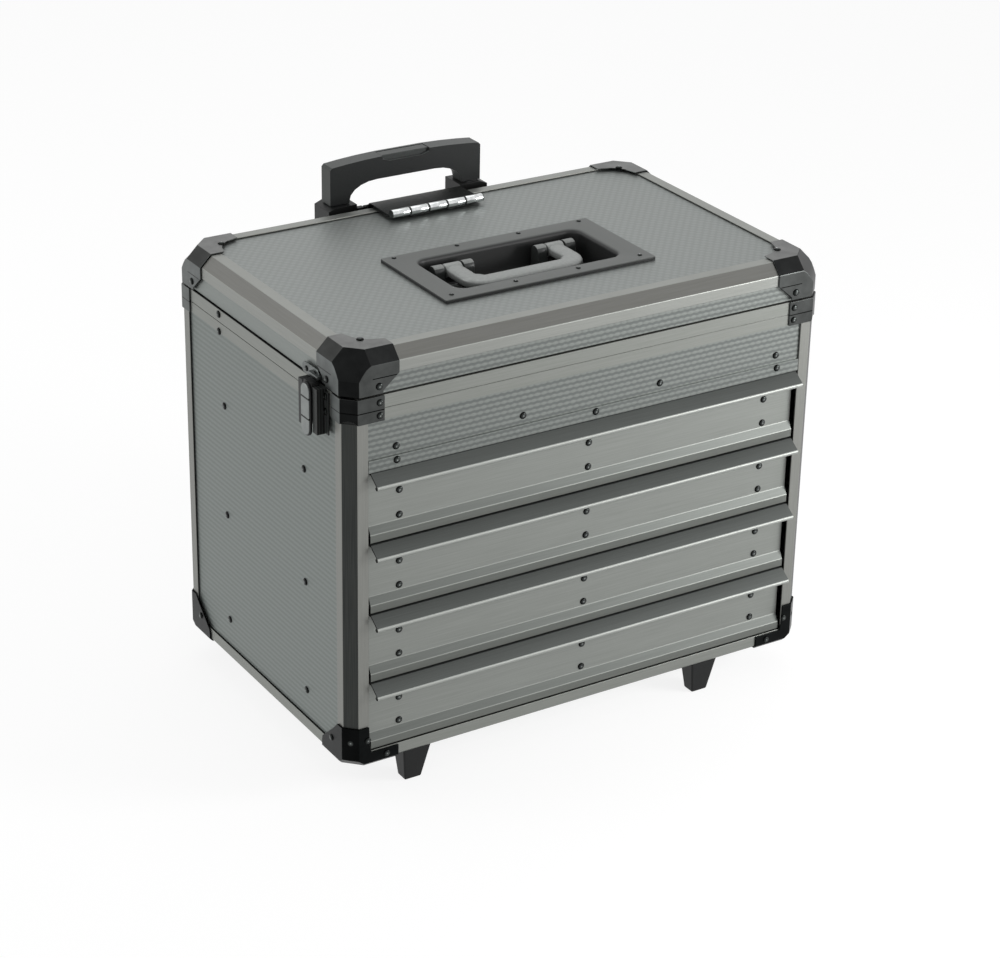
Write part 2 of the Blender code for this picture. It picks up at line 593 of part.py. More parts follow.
def latches():
    """A base with two cheeks and a pin, and a lever that turns on the pin, on each side of the body."""
    y = FRONT + LATCH_CENTRE
    pivot_out = LATCH_REACH - LEVER_KNUCKLE
    pivot_z = BODY_TOP - LEVER_PIVOT_DROP
    for side, name in ((-1, "left"), (1, "right")):
        def out(*reach):
            return sorted(side * (SIDE + value) for value in reach)

        cheek_top = BODY_TOP + SPLIT_GAP / 2
        base = box("latch_base_" + name, out(GAP, PROUD), (y - BASE_PLATE_WIDTH / 2, y + BASE_PLATE_WIDTH / 2),
                   (cheek_top - BASE_HEIGHT, BODY_TOP - LEVER_PIVOT_DROP))
        block = box("block", out(GAP, BASE_DEPTH), (y - BASE_WIDTH / 2, y + BASE_WIDTH / 2),
                    (cheek_top - BASE_HEIGHT, cheek_top))
        way = LEVER_WIDTH / 2 + 2 * GAP
        slot = box("slot", out(PROUD, 2 * BASE_DEPTH), (y - way, y + way),
                   (cheek_top - 2 * BASE_HEIGHT, cheek_top + BASE_HEIGHT))
        relief = box("relief", out(0, 2 * BASE_DEPTH), (y - way, y + way),
                     (pivot_z - LEVER_KNUCKLE - 2 * GAP, cheek_top + BASE_HEIGHT))
        axis = (side * (SIDE + pivot_out), pivot_z)
        cheek = BASE_WIDTH / 2 - GAP
        pin = rod("pin", "Y", axis, LATCH_PIN, y - cheek, y + cheek, sides=16)
        paint(join(cut(join(base, block), slot, relief), pin), BLACK)

        face, back = LATCH_REACH, LATCH_REACH - LEVER_SHEET
        tip = pivot_z - LEVER_TAIL
        turns = [math.radians(20 * i) for i in range(12)]
        section = [(pivot_out + LEVER_KNUCKLE * math.cos(t), pivot_z + LEVER_KNUCKLE * math.sin(t)) for t in turns]
        section += [(back, pivot_z - LEVER_KNUCKLE), (back, tip + 0.1 * LEVER_TAIL), (back + LEVER_SHEET / 3, tip),
                    (face - LEVER_SHEET / 4, tip), (face, tip + 0.1 * LEVER_TAIL)]
        notch = LEVER_SHEET / 4
        for level in (0.62, 0.20):
            low = pivot_z - level * LEVER_TAIL
            section += [(face, low), (face - notch, low), (face - notch, low + 3 * notch), (face, low + 3 * notch)]
        outline = [(side * (SIDE + reach), z) for reach, z in section]
        lever = prism("latch_lever_" + name, "Y", outline, y - LEVER_WIDTH / 2, y + LEVER_WIDTH / 2)
        bore = rod("bore", "Y", axis, LATCH_PIN + GAP, y - LEVER_WIDTH, y + LEVER_WIDTH, sides=16)
        paint(smooth(cut(lever, bore)), ZINC)
        pivot(lever, (axis[0], y, pivot_z))


def drawers():
    """Four drawer fronts with their pull lips, the trays behind them and the racks that they run on."""
    half = SIDE - FLANGE - DRAWER_SIDE_GAP
    tray_half = half - TRAY_SIDE_GAP
    face, sheet = FACE_SETBACK, EXTRUSION
    rails = []
    for number in range(DRAWER_COUNT):
        top = OPENING_TOP - DRAWER_GAP / 3 - number * DRAWER_PITCH
        low = top - DRAWER_HEIGHT
        skirt = low + 0.11 * DRAWER_HEIGHT
        bevel = low + 0.22 * DRAWER_HEIGHT
        drop, lip = top - PULL_DROP, top - PULL_DROP - PULL_LIP
        front = [
            (2.4 * face, top), (0, top), (sheet / 2 - PULL_REACH, drop), (-PULL_REACH, drop - PULL_LIP / 4),
            (-PULL_REACH, lip), (sheet - PULL_REACH, lip), (sheet - PULL_REACH, drop - PULL_LIP / 3),
            (sheet / 4, top - sheet), (face, top - sheet), (face, bevel), (0.2 * face, skirt), (0.2 * face, low),
            (0.2 * face + sheet, low), (0.2 * face + sheet, skirt - sheet / 3), (face + sheet, bevel - sheet / 3),
            (face + sheet, top - sheet), (2.4 * face, top - sheet),
        ]
        outline = [(FRONT + y, z) for y, z in front]
        paint(prism("drawer_front_%d" % (number + 1), "X", outline, -half, half), SILVER)
        tray_low, tray_high = low + 3 * sheet, top - 0.2 * DRAWER_HEIGHT
        start = FRONT + face + sheet + GAP
        stop = REAR - TRAY_REAR_GAP
        tray = box("drawer_tray_%d" % (number + 1), (-tray_half, tray_half), (start, stop), (tray_low, tray_high))
        space = box("space", (-tray_half + PANEL, tray_half - PANEL), (start + PANEL, stop - PANEL),
                    (tray_low + PANEL, tray_high + DRAWER_HEIGHT))
        paint(cut(tray, space), SHEET_GREY)
        rails.append(tray_low - GAP)
    rack_low = OPENING_BOTTOM + GAP
    back, plate = SIDE - RACK_INSET, SIDE - RACK_INSET - EXTRUSION
    comb = [(back, OPENING_TOP - GAP), (back, rack_low), (plate, rack_low)]
    for rail in reversed(rails):
        comb += [(plate, rail - EXTRUSION), (tray_half - RAIL_REACH, rail - EXTRUSION),
                 (tray_half - RAIL_REACH, rail), (plate, rail)]
    comb.append((plate, OPENING_TOP - GAP))
    for side, name in ((-1, "left"), (1, "right")):
        rack = prism("drawer_runner_rack_" + name, "Y", [(side * x, z) for x, z in comb],
                     FRONT + CHAMFER, REAR - TRAY_REAR_GAP)
        paint(rack, ZINC)


def trolley():
    """Bracket and outer tubes on the back, and inner tubes, grip and button that slide up together."""
    y = REAR + TUBE_BEHIND
    plate = REAR + LID_CLEARANCE
    edge = TUBE_SPREAD + SOCKET_WIDTH / 2
    sheet = box("trolley_cross_bracket", (-edge, edge), (plate, plate + BRACKET_SHEET),
                (LID_TOP - REAR_PIVOT_DROP - REAR_BARREL_RADIUS - BRACKET_HEIGHT,
                 LID_TOP - REAR_PIVOT_DROP - REAR_BARREL_RADIUS - GAP))
    bracket_low = LID_TOP - REAR_PIVOT_DROP - REAR_BARREL_RADIUS - BRACKET_HEIGHT
    pad = box("pad", (-edge, edge), (REAR + GAP, plate + BRACKET_SHEET / 2), (bracket_low, BODY_TOP - EXTRUSION))
    pivot_y, pivot_z = REAR + REAR_PIVOT_BEHIND, LID_TOP - REAR_PIVOT_DROP
    inside = HINGE_WIDTH / 2 + 4 * GAP
    added, ways = [pad], []
    for side in (-1, 1):
        centre = side * TUBE_SPREAD
        socket = [
            (centre - side * SOCKET_WIDTH / 2, LID_TOP - SOCKET_HEIGHT),
            (centre + side * SOCKET_WIDTH / 2, LID_TOP - SOCKET_HEIGHT),
            (centre + side * SOCKET_WIDTH / 2, LID_TOP - 2 * EXTRUSION),
            (centre + side * SOCKET_WIDTH / 4, LID_TOP), (centre - side * SOCKET_WIDTH / 2, LID_TOP),
        ]
        added.append(prism("socket", "Y", socket, y - SOCKET_DEPTH / 2, y + SOCKET_DEPTH / 2))
        cheek = sorted((side * inside, side * (TUBE_SPREAD - SOCKET_WIDTH / 2 + EXTRUSION)))
        added.append(box("cheek", cheek, (plate, pivot_y + REAR_BARREL_RADIUS),
                         (pivot_z - 3 * REAR_BARREL_RADIUS, pivot_z + 0.8 * REAR_BARREL_RADIUS)))
        hold, slide = OUTER_TUBE / 2 + GAP, INNER_TUBE / 2 + 2 * GAP
        ways.append(box("hold", (centre - hold, centre + hold), (y - hold, y + hold),
                        (LID_TOP - 2 * SOCKET_HEIGHT, LID_TOP - SOCKET_HEIGHT / 5)))
        ways.append(box("slide", (centre - slide, centre + slide), (y - slide, y + slide),
                        (LID_TOP - SOCKET_HEIGHT, LID_TOP + SOCKET_HEIGHT)))
    added.append(rod("pin", "X", (pivot_y, pivot_z), HINGE_PIN, -inside - GAP, inside + GAP, sides=16))
    paint(cut(join(sheet, *added), *ways), BLACK)

    top, foot = LID_TOP - SOCKET_HEIGHT / 5 - GAP, BODY_BOTTOM + TUBE_FOOT
    for side, name in ((-1, "left"), (1, "right")):
        centre = side * TUBE_SPREAD
        half, bore = OUTER_TUBE / 2, OUTER_TUBE / 2 - TUBE_WALL
        outer = box("trolley_outer_tube_" + name, (centre - half, centre + half), (y - half, y + half), (foot, top))
        lugs = [box("lug", (centre - half, centre + half), (REAR + GAP, y), (level, level + OUTER_TUBE))
                for level in (foot, (foot + top) / 2)]
        hollow = box("hollow", (centre - bore, centre + bore), (y - bore, y + bore),
                     (foot + TUBE_WALL, top + OUTER_TUBE))
        paint(cut(join(outer, *lugs), hollow), SILVER)

        half, bore = INNER_TUBE / 2, INNER_TUBE / 2 - TUBE_WALL
        low, high = foot + TUBE_WALL + TUBE_END_GAP, LID_TOP + GRIP_BAR_UNDERSIDE - EXTRUSION
        inner = box("trolley_inner_tube_" + name, (centre - half, centre + half), (y - half, y + half), (low, high))
        hollow = box("hollow", (centre - bore, centre + bore), (y - bore, y + bore), (foot, high - TUBE_WALL))
        paint(cut(inner, hollow), CHROME)
    grip(y)


def grip(y):
    """The grip over both tubes, hollowed for them and for the button in the middle of its top."""
    half, low = GRIP_WIDTH / 2, LID_TOP + GAP
    under, high = LID_TOP + GRIP_BAR_UNDERSIDE, LID_TOP + GRIP_END_HEIGHT
    leg, foot = half - GRIP_LEG, low + GRIP_ARCH_FOOT
    crown = [(half - GRIP_CORNER, high), (0.8 * half, high + 0.4 * GRIP_RISE), (0.55 * half, high + 0.8 * GRIP_RISE),
             (0.3 * half, high + GRIP_RISE)]
    right = [(leg, low), (half, low), (half, high - GRIP_CORNER)] + crown
    turns = [math.radians(angle) for angle in (90, 72, 54, 36, 18, 0)]
    inner = [(leg - GRIP_ARCH * (1 - math.cos(turn)), foot + (under - foot) * math.sin(turn)) for turn in turns]
    outline = right + [(-x, z) for x, z in reversed(right)] + [(-x, z) for x, z in reversed(inner)] + inner
    body = prism("trolley_grip", "Y", outline, y - GRIP_DEPTH / 2, y + GRIP_DEPTH / 2)
    crest = high + GRIP_RISE
    button_y = (y - BUTTON_DEPTH / 2, y + BUTTON_DEPTH / 2)
    notch_low = crest - 0.7 * BUTTON_HEIGHT
    reach = BUTTON_WIDTH / 2
    scoop = [(-reach, crest + BUTTON_HEIGHT), (-reach, notch_low + 0.3 * BUTTON_HEIGHT),
             (-0.7 * reach, notch_low), (0.7 * reach, notch_low),
             (reach, notch_low + 0.3 * BUTTON_HEIGHT), (reach, crest + BUTTON_HEIGHT)]
    ways = [
        prism("notch", "Y", scoop, y - GRIP_DEPTH, y),
        box("pocket", (-reach - GAP, reach + GAP), (button_y[0] - GAP, button_y[1] + GAP),
            (crest - BUTTON_HEIGHT - BUTTON_TRAVEL - 2 * GAP, crest + BUTTON_HEIGHT)),
    ]
    hold = INNER_TUBE / 2 + GAP
    for side in (-1, 1):
        centre = side * TUBE_SPREAD
        ways.append(box("hold", (centre - hold, centre + hold), (y - hold, y + hold),
                        (LID_TOP - GRIP_LEG, under - EXTRUSION + GAP)))
    paint(cut(body, *ways), BLACK)
    button = box("release_button", (-reach, reach), button_y, (crest - BUTTON_HEIGHT - GAP, crest - GAP))
    paint(button, BLACK)
    pivot(button, (0, y, crest - BUTTON_HEIGHT))


def feet_and_wheels():
    """Tapered front feet, and wheels on axles in housings behind the rear panel."""
    near = FRONT + FOOT_SETBACK
    for edge, name in ((-SIDE + BASE_CAP_REACH + LEFT_FOOT_GAP, "left"), (SIDE - RIGHT_FOOT_INSET, "right")):
        points = []
        for x, width, depth, z in ((edge + FOOT_DRAFT, FOOT_TIP_WIDTH, FOOT_TIP_DEPTH, 0),
                                   (edge, FOOT_TOP_WIDTH, FOOT_TOP_DEPTH, BODY_BOTTOM - GAP)):
            points += [(x, near, z), (x + width, near, z), (x + width, near + depth, z), (x, near + depth, z)]
        faces = [(0, 1, 2, 3), (4, 5, 6, 7), (0, 1, 5, 4), (1, 2, 6, 5), (2, 3, 7, 6), (3, 0, 4, 7)]
        paint(solid("front_foot_" + name, points, faces), BLACK)

    axis = (REAR + AXLE_BEHIND, WHEEL_RADIUS)
    half = WHEEL_WIDTH / 2
    for side, name in ((-1, "left"), (1, "right")):
        x = side * (SIDE - WHEEL_INSET)
        bore, tread = AXLE_RADIUS + GAP, WHEEL_RADIUS
        profile = [(bore, -half), (0.42 * tread, -half), (0.46 * tread, -0.6 * half), (0.7 * tread, -0.6 * half),
                   (0.74 * tread, -half), (0.92 * tread, -half), (tread, -0.8 * half)]
        profile += [(r, -offset) for r, offset in reversed(profile)]
        wheel = lathe("wheel_" + name, [(r, x + offset) for r, offset in profile], axis)
        paint(wheel, RUBBER)
        pivot(wheel, (x, *axis))
        inside = half + HOUSING_SIDE_GAP
        out = inside + HOUSING_SHEET
        roof = 2 * WHEEL_RADIUS + WHEEL_CLEARANCE
        start, reach = REAR + GAP, REAR + AXLE_BEHIND + 3 * AXLE_RADIUS
        shape = [(start, BODY_BOTTOM), (start, roof + HOUSING_SHEET), (reach - 3 * AXLE_RADIUS, roof + HOUSING_SHEET),
                 (reach, roof - 3 * AXLE_RADIUS), (reach, axis[1] - AXLE_RADIUS), (axis[0], axis[1] - 2.2 * AXLE_RADIUS)]
        housing = prism("wheel_housing_" + name, "X", shape, x - out, x + out)
        way = box("way", (x - inside, x + inside), (start + HOUSING_SHEET, reach + WHEEL_RADIUS), (-roof, roof))
        axle = rod("axle", "X", axis, AXLE_RADIUS, x - out + GAP, x + out - GAP, sides=20)
        paint(join(cut(housing, way), axle), BLACK)


for startup in list(bpy.data.objects):
    bpy.data.objects.remove(startup)
body_shell()
drawers()
latches()
trolley()
feet_and_wheels()
hinge_link()
lid()
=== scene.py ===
import json
import math

import bmesh
import bpy
import numpy as np
from mathutils import Matrix, Vector


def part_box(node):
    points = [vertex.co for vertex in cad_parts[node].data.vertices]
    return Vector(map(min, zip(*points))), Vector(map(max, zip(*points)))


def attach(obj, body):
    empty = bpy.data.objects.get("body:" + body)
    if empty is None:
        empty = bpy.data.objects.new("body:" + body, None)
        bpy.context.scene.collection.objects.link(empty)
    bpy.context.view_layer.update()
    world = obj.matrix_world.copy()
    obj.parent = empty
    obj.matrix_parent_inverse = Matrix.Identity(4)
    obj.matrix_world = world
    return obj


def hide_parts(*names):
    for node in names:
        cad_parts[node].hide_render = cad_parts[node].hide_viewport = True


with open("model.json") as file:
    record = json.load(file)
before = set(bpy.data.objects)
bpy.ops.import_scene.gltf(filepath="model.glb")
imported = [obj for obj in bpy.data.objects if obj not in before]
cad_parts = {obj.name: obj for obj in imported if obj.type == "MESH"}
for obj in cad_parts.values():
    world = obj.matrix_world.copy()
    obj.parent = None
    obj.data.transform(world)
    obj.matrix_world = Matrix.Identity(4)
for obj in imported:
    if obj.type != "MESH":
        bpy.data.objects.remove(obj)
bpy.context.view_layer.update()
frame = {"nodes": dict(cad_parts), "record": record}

# The camera: a long lens 2.5 m from the case, above the drawers and to their left, as the photograph was taken.
# It turns towards the case, tilts down on it and leans a little, in degrees.
camera_place = (-1.20852, -1.94945, 1.27292)
camera_turn, camera_tilt, camera_lean = -32.2369, 64.4576, 1.1584
lens = bpy.data.cameras.new("camera")
lens.lens, lens.sensor_width, lens.sensor_fit = 98.72, 36, "HORIZONTAL"
camera = bpy.data.objects.new("camera", lens)
camera.matrix_world = (
    Matrix.Translation(camera_place)
    @ Matrix.Rotation(math.radians(camera_turn), 4, "Z")
    @ Matrix.Rotation(math.radians(camera_tilt), 4, "X")
    @ Matrix.Rotation(math.radians(camera_lean), 4, "Z")
)
scene = bpy.context.scene
scene.collection.objects.link(camera)
scene.camera = camera
scene.view_settings.view_transform = "Standard"

# The studio: a plain white room with a wide soft lamp overhead, a small one to the right of the drawers and a
# large one behind to the left. A pale paper floor keeps the shadow of the case.


def linear(colour):
    """Linear red, green, blue and alpha of an sRGB hex colour.

    Each is ((c + 0.055) / 1.055) to the power 2.4, or c / 12.92 where c is no more than 0.04045."""
    parts = np.array([int(colour[i:i + 2], 16) for i in (1, 3, 5)]) / 255
    return (*np.where(parts > 0.04045, ((parts + 0.055) / 1.055) ** 2.4, parts / 12.92).tolist(), 1)


def add(tree, kind, settings={}, links={}):
    """Adds a node to a material: settings fill its inputs or its properties, links join its inputs to sockets.

    A setting that is a hex colour is made linear."""
    node = tree.nodes.new(kind)
    for key, value in settings.items():
        if str(value).startswith("#"):
            value = linear(value)
        if isinstance(key, int) or key in node.inputs:
            node.inputs[key].default_value = value
        else:
            setattr(node, key, value)
    for key, socket in links.items():
        tree.links.new(socket, node.inputs[key])
    return node


def looked_at(tree):
    """1 on rays from the camera, off a gloss or through glass, and 0 on the rays that light the case."""
    largest, ray = {"operation": "MAXIMUM"}, add(tree, "ShaderNodeLightPath").outputs
    seen = add(tree, "ShaderNodeMath", largest, {0: ray["Is Camera Ray"], 1: ray["Is Glossy Ray"]})
    seen = add(tree, "ShaderNodeMath", largest, {0: seen.outputs[0], 1: ray["Is Transmission Ray"]})
    return seen.outputs[0]


# The room is plain white where it is looked at, and lights the case at half that strength.
world = bpy.data.worlds.new("white_room")
world.use_nodes = True
tree = world.node_tree
tree.nodes.clear()
room = add(tree, "ShaderNodeBackground", {"Color": "#ffffff", "Strength": 0.5})
backdrop = add(tree, "ShaderNodeBackground", {"Color": "#ffffff", "Strength": 1.0})
lit = add(tree, "ShaderNodeMixShader", {}, {0: looked_at(tree), 1: room.outputs[0], 2: backdrop.outputs[0]})
add(tree, "ShaderNodeOutputWorld", {}, {0: lit.outputs[0]})
scene.world = world

case_middle = Vector((0, 0, 0.2))
for name, watts, across, place in (
    ("overhead_lamp", 8, 2.2, (0.2, 0.8, 2.5)),
    ("right_lamp", 9.5, 0.5, (0.9, -0.85, 0.5)),
    ("left_lamp", 9, 1.6, (-1.9, 1.0, 1.7)),
):
    lamp = bpy.data.lights.new(name, "AREA")
    lamp.energy, lamp.shape, lamp.size = watts, "DISK", across
    light = bpy.data.objects.new(name, lamp)
    aim = (case_middle - Vector(place)).to_track_quat("-Z", "Y")
    light.matrix_world = Matrix.Translation(place) @ aim.to_matrix().to_4x4()
    scene.collection.objects.link(light)

# Matt white paper. Where it is looked at, a share of it glows, so that it stays white around the shadow.
floor_reach, glow_share, glow_strength = 40, 0.76, 1.1
mesh = bpy.data.meshes.new("floor")
corners = [(x * floor_reach, y * floor_reach, 0) for x, y in ((-1, -1), (1, -1), (1, 1), (-1, 1))]
mesh.from_pydata(corners, [], [(0, 1, 2, 3)])
floor = bpy.data.objects.new("floor", mesh)
scene.collection.objects.link(floor)
paper = bpy.data.materials.new("white_paper")
paper.use_nodes = True
tree = paper.node_tree
tree.nodes.clear()
share = add(tree, "ShaderNodeMath", {"operation": "MULTIPLY", 1: glow_share}, {0: looked_at(tree)})
matt = add(tree, "ShaderNodeBsdfDiffuse", {"Color": "#f4f4f4"})
glow = add(tree, "ShaderNodeEmission", {"Color": "#ffffff", "Strength": glow_strength})
lit = add(tree, "ShaderNodeMixShader", {}, {0: share.outputs[0], 1: matt.outputs[0], 2: glow.outputs[0]})
add(tree, "ShaderNodeOutputMaterial", {}, {0: lit.outputs[0]})
mesh.materials.append(paper)

# The edge extrusions: mitred lengths of thin drawn aluminium section round the lid, the body rim and the foot of
# the body, and four upright corner posts, all riveted over the sheets' edges. Their bevels are painted darker, a
# painted reflection, which is nearly black on the body, and the lid's flats are painted lighter than the body's,
# a painted light.
nodes = frame["nodes"]
bodies = frame["record"]["behaviour"]["bodies"]
home = {node: body for body, members in bodies.items() for node in members}
slots = {part["node"]: part["material_slot"] for part in frame["record"]["subparts"]}


def new_finish(name, settings):
    """A material with its shader's own sockets filled, and its tree and shader to build on."""
    finish = bpy.data.materials.new(name)
    finish.use_nodes = True
    shader = finish.node_tree.nodes["Principled BSDF"]
    for key, value in settings.items():
        shader.inputs[key].default_value = value
    return finish, finish.node_tree, shader


def dress(finish, *names):
    """Puts a finish on CAD nodes that keep their own shape."""
    for name in names:
        nodes[name].data.materials.clear()
        nodes[name].data.materials.append(finish)


def fix(piece, body, slot, *stands_for):
    """Puts a piece in the scene on its body and hides the CAD nodes that it stands for; the slot is not used."""
    if piece.name not in scene.collection.objects:
        scene.collection.objects.link(piece)
    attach(piece, body)
    if stands_for:
        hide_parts(*stands_for)


def tinted(mesh, colours):
    """Keeps a linear colour for each face in the attribute named tone."""
    mesh.attributes.new("tone", "FLOAT_COLOR", "FACE").data.foreach_set("color", np.array(colours).ravel())


def shaded(mesh, tones):
    """Gives each face the tone whose direction is nearest its own, a painted light and shade by the way it looks.

    Nearest is the largest dot product of the two directions, signs left out."""
    normals = np.empty(len(mesh.polygons) * 3, np.float32)
    mesh.polygons.foreach_get("normal", normals)
    ways = np.array([way for way, tone in tones], float)
    ways /= np.linalg.norm(ways, axis=1, keepdims=True)
    nearest = (np.abs(normals.reshape(-1, 3)) @ ways.T).argmax(axis=1)
    tinted(mesh, np.array([linear(tone) for way, tone in tones])[nearest])


def softened(node, finish, width, tones=None, segments=2, join=0.00001):
    """Joins a copy of a node's triangles into one skin and rounds its edges by a width.

    Triangles of one flat face become that face again. Points nearer to each other than join become one, which
    closes ledges too narrow to round."""
    flat_within, sharp_over = math.radians(1), math.radians(30)
    source = nodes[node].data
    points = np.empty(len(source.vertices) * 3, np.float32)
    source.vertices.foreach_get("co", points)
    corners = np.empty(len(source.loops), np.int32)
    source.loops.foreach_get("vertex_index", corners)
    places, index = np.unique(np.round(points.reshape(-1, 3), 6), axis=0, return_inverse=True)
    faces = index.reshape(-1)[corners].reshape(-1, 3)
    first, second, third = faces.T
    whole = (first != second) & (second != third) & (first != third)
    mesh = bpy.data.meshes.new(node + "_eased")
    mesh.from_pydata(places.tolist(), [], faces[whole].tolist())
    skin = bmesh.new()
    skin.from_mesh(mesh)
    bmesh.ops.remove_doubles(skin, verts=skin.verts, dist=join)
    bmesh.ops.dissolve_limit(skin, angle_limit=flat_within, verts=skin.verts, edges=skin.edges)
    skin.to_mesh(mesh)
    skin.free()
    if tones:
        shaded(mesh, tones)
    mesh.materials.append(finish)
    mesh.shade_smooth()
    mesh.set_sharp_from_angle(angle=sharp_over)
    piece = bpy.data.objects.new(node + "_eased", mesh)
    easing = piece.modifiers.new("eased edges", "BEVEL")
    easing.width, easing.segments = width, segments
    easing.limit_method, easing.angle_limit = "ANGLE", sharp_over
    easing.harden_normals = True
    fix(piece, home[node], slots[node], node)


def drawn_lines(tree, shader, across, strength):
    """Die lines of a drawn metal: noise stretched along the length, given with the place and used as relief.

    Across is the noise's scale per metre on X, Y and Z. The relief is up to 0.2 mm times the strength."""
    place = add(tree, "ShaderNodeTexCoord").outputs["Object"]
    stretched = add(tree, "ShaderNodeMapping", {"Scale": across}, {"Vector": place})
    lines = add(tree, "ShaderNodeTexNoise", {"Scale": 1.0, "Detail": 4.0}, {"Vector": stretched.outputs[0]})
    depth = {"Strength": strength, "Distance": 0.0002}
    relief = add(tree, "ShaderNodeBump", depth, {"Height": lines.outputs["Fac"]})
    tree.links.new(relief.outputs[0], shader.inputs["Normal"])
    return place, lines.outputs["Fac"]


def varied(tree, low, high, amount):
    """A colour that runs from one to another as an amount goes from 0.3 to 0.7."""
    ramp = add(tree, "ShaderNodeValToRGB", {}, {"Fac": amount})
    for stop, at, colour in zip(ramp.color_ramp.elements, (0.3, 0.7), (low, high)):
        stop.position, stop.color = at, linear(colour)
    return ramp.outputs["Color"]


def outward(tree, place, axis, middle=0.0):
    """How far a place lies from a middle along one axis, either way."""
    split = add(tree, "ShaderNodeSeparateXYZ", {}, {0: place}).outputs[axis]
    moved = add(tree, "ShaderNodeMath", {"operation": "SUBTRACT", 1: middle}, {0: split})
    return add(tree, "ShaderNodeMath", {"operation": "ABSOLUTE"}, {0: moved.outputs[0]}).outputs[0]


def between(tree, place, axis, low, high, middle=0.0):
    """1 where a place lies from low to high out from a middle along one axis, and 0 elsewhere."""
    limits = {"operation": "COMPARE", 1: (low + high) / 2, 2: (high - low) / 2}
    return add(tree, "ShaderNodeMath", limits, {0: outward(tree, place, axis, middle)}).outputs[0]


low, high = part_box("lid_frame")
front, rear, half_width, lid_top = low.y, high.y, high.x, high.z
bevel = 0.010


def extruded(name, across, axis, reach, margin, flats, bevels):
    """Satin anodised aluminium: a grey metal with a soft sheen, no gloss, and fine lines along its length.

    Its bevel is the last 10 mm out to a reach along one axis, less a margin at either edge, and has its own
    colours, a painted reflection."""
    finish, tree, shader = new_finish(name, {"Metallic": 0.85, "Roughness": 0.42})
    place, lines = drawn_lines(tree, shader, across, 0.08)
    shades = {"A": varied(tree, *flats, lines), "B": varied(tree, *bevels, lines)}
    shades["Factor"] = between(tree, place, axis, reach - bevel + margin, reach - margin)
    colour = add(tree, "ShaderNodeMix", {"data_type": "RGBA"}, shades).outputs["Result"]
    tree.links.new(colour, shader.inputs["Base Color"])
    return finish


level_lines, upright_lines = (25, 25, 1400), (1400, 1400, 25)
lid_section = extruded("satin_anodised_lid_section", level_lines, "Z", lid_top, 0.0004,
                       ("#8b8d89", "#929490"), ("#6d6d69", "#737370"))
rim_section = extruded("satin_anodised_rim_section", level_lines, "X", half_width, 0.0003,
                       ("#81847f", "#898b87"), ("#1d1e1e", "#272827"))
post_section = extruded("satin_anodised_corner_post", upright_lines, "X", half_width, 0.0003,
                        ("#7f807c", "#868783"), ("#2f3130", "#3b3d3b"))
softened("lid_frame", lid_section, 0.0006)
dress(rim_section, "body_rim_frame")
softened("bottom_frame", rim_section, 0.0004)
CORNERS = ("front_left", "front_right", "rear_left", "rear_right")
for corner in CORNERS:
    softened("corner_post_" + corner, post_section, 0.0005)

# The lid and header sheets: 1.2 mm aluminium rolled between engraved cylinders, so that small raised grains
# stand in staggered rows 4.8 mm apart. They sit in the extrusions and are riveted through them.
row_pitch = 0.00483
mottling = 0.35


def embossed(tree, shader, along, down, length, grains, low, high):
    """Staggered grains over level ribs, as relief and as a colour, which is given with the place.

    The height is grains cos(2 pi u / length) cos(pi v / pitch) + (1 - grains) cos(2 pi v / pitch), brought to
    0 to 1, with u along the rows and v down them. The colour follows the height, lighter on the raised parts, as
    a painted light, and a mottle is laid over it."""
    place = add(tree, "ShaderNodeTexCoord").outputs["Object"]
    split = add(tree, "ShaderNodeSeparateXYZ", {}, {0: place}).outputs
    full_turn, waves = 2 * math.pi, []
    turns = ((along, full_turn / length), (down, math.pi / row_pitch), (down, full_turn / row_pitch))
    for axis, per_metre in turns:
        angle = add(tree, "ShaderNodeMath", {"operation": "MULTIPLY", 1: per_metre}, {0: split[axis]})
        waves.append(add(tree, "ShaderNodeMath", {"operation": "COSINE"}, {0: angle.outputs[0]}).outputs[0])
    knobs = add(tree, "ShaderNodeMath", {"operation": "MULTIPLY"}, {0: waves[0], 1: waves[1]})
    knobs = add(tree, "ShaderNodeMath", {"operation": "MULTIPLY", 1: grains}, {0: knobs.outputs[0]})
    ribbing = {"operation": "MULTIPLY_ADD", 1: 1 - grains}
    height = add(tree, "ShaderNodeMath", ribbing, {0: waves[2], 2: knobs.outputs[0]}).outputs[0]
    raised = add(tree, "ShaderNodeMapRange", {"From Min": -1.0, "From Max": 1.0}, {"Value": height}).outputs[0]
    mottle = add(tree, "ShaderNodeTexNoise", {"Scale": 180.0, "Detail": 3.0}, {"Vector": place}).outputs["Fac"]
    amount = add(tree, "ShaderNodeMath", {"operation": "MULTIPLY_ADD", 1: mottling}, {0: mottle, 2: raised})
    amount = add(tree, "ShaderNodeMath", {"operation": "SUBTRACT", 1: mottling / 2}, {0: amount.outputs[0]})
    colour = varied(tree, low, high, amount.outputs[0])
    tree.links.new(colour, shader.inputs["Base Color"])
    relief = add(tree, "ShaderNodeBump", {"Strength": 0.35, "Distance": 0.0003}, {"Height": raised})
    tree.links.new(relief.outputs[0], shader.inputs["Normal"])
    return place, colour


# Bare rolled aluminium, a dull grey metal. The grains catch the light, mostly on the lid's top, and are painted
# lighter on their raised parts as well.
sheet = {"Metallic": 0.8, "Roughness": 0.45}
top_sheet, tree, shader = new_finish("embossed_aluminium_top_sheet", sheet)
embossed(tree, shader, "X", "Y", length=0.0081, grains=0.8, low="#838785", high="#8b8f8d")
dress(top_sheet, "lid_top_panel")
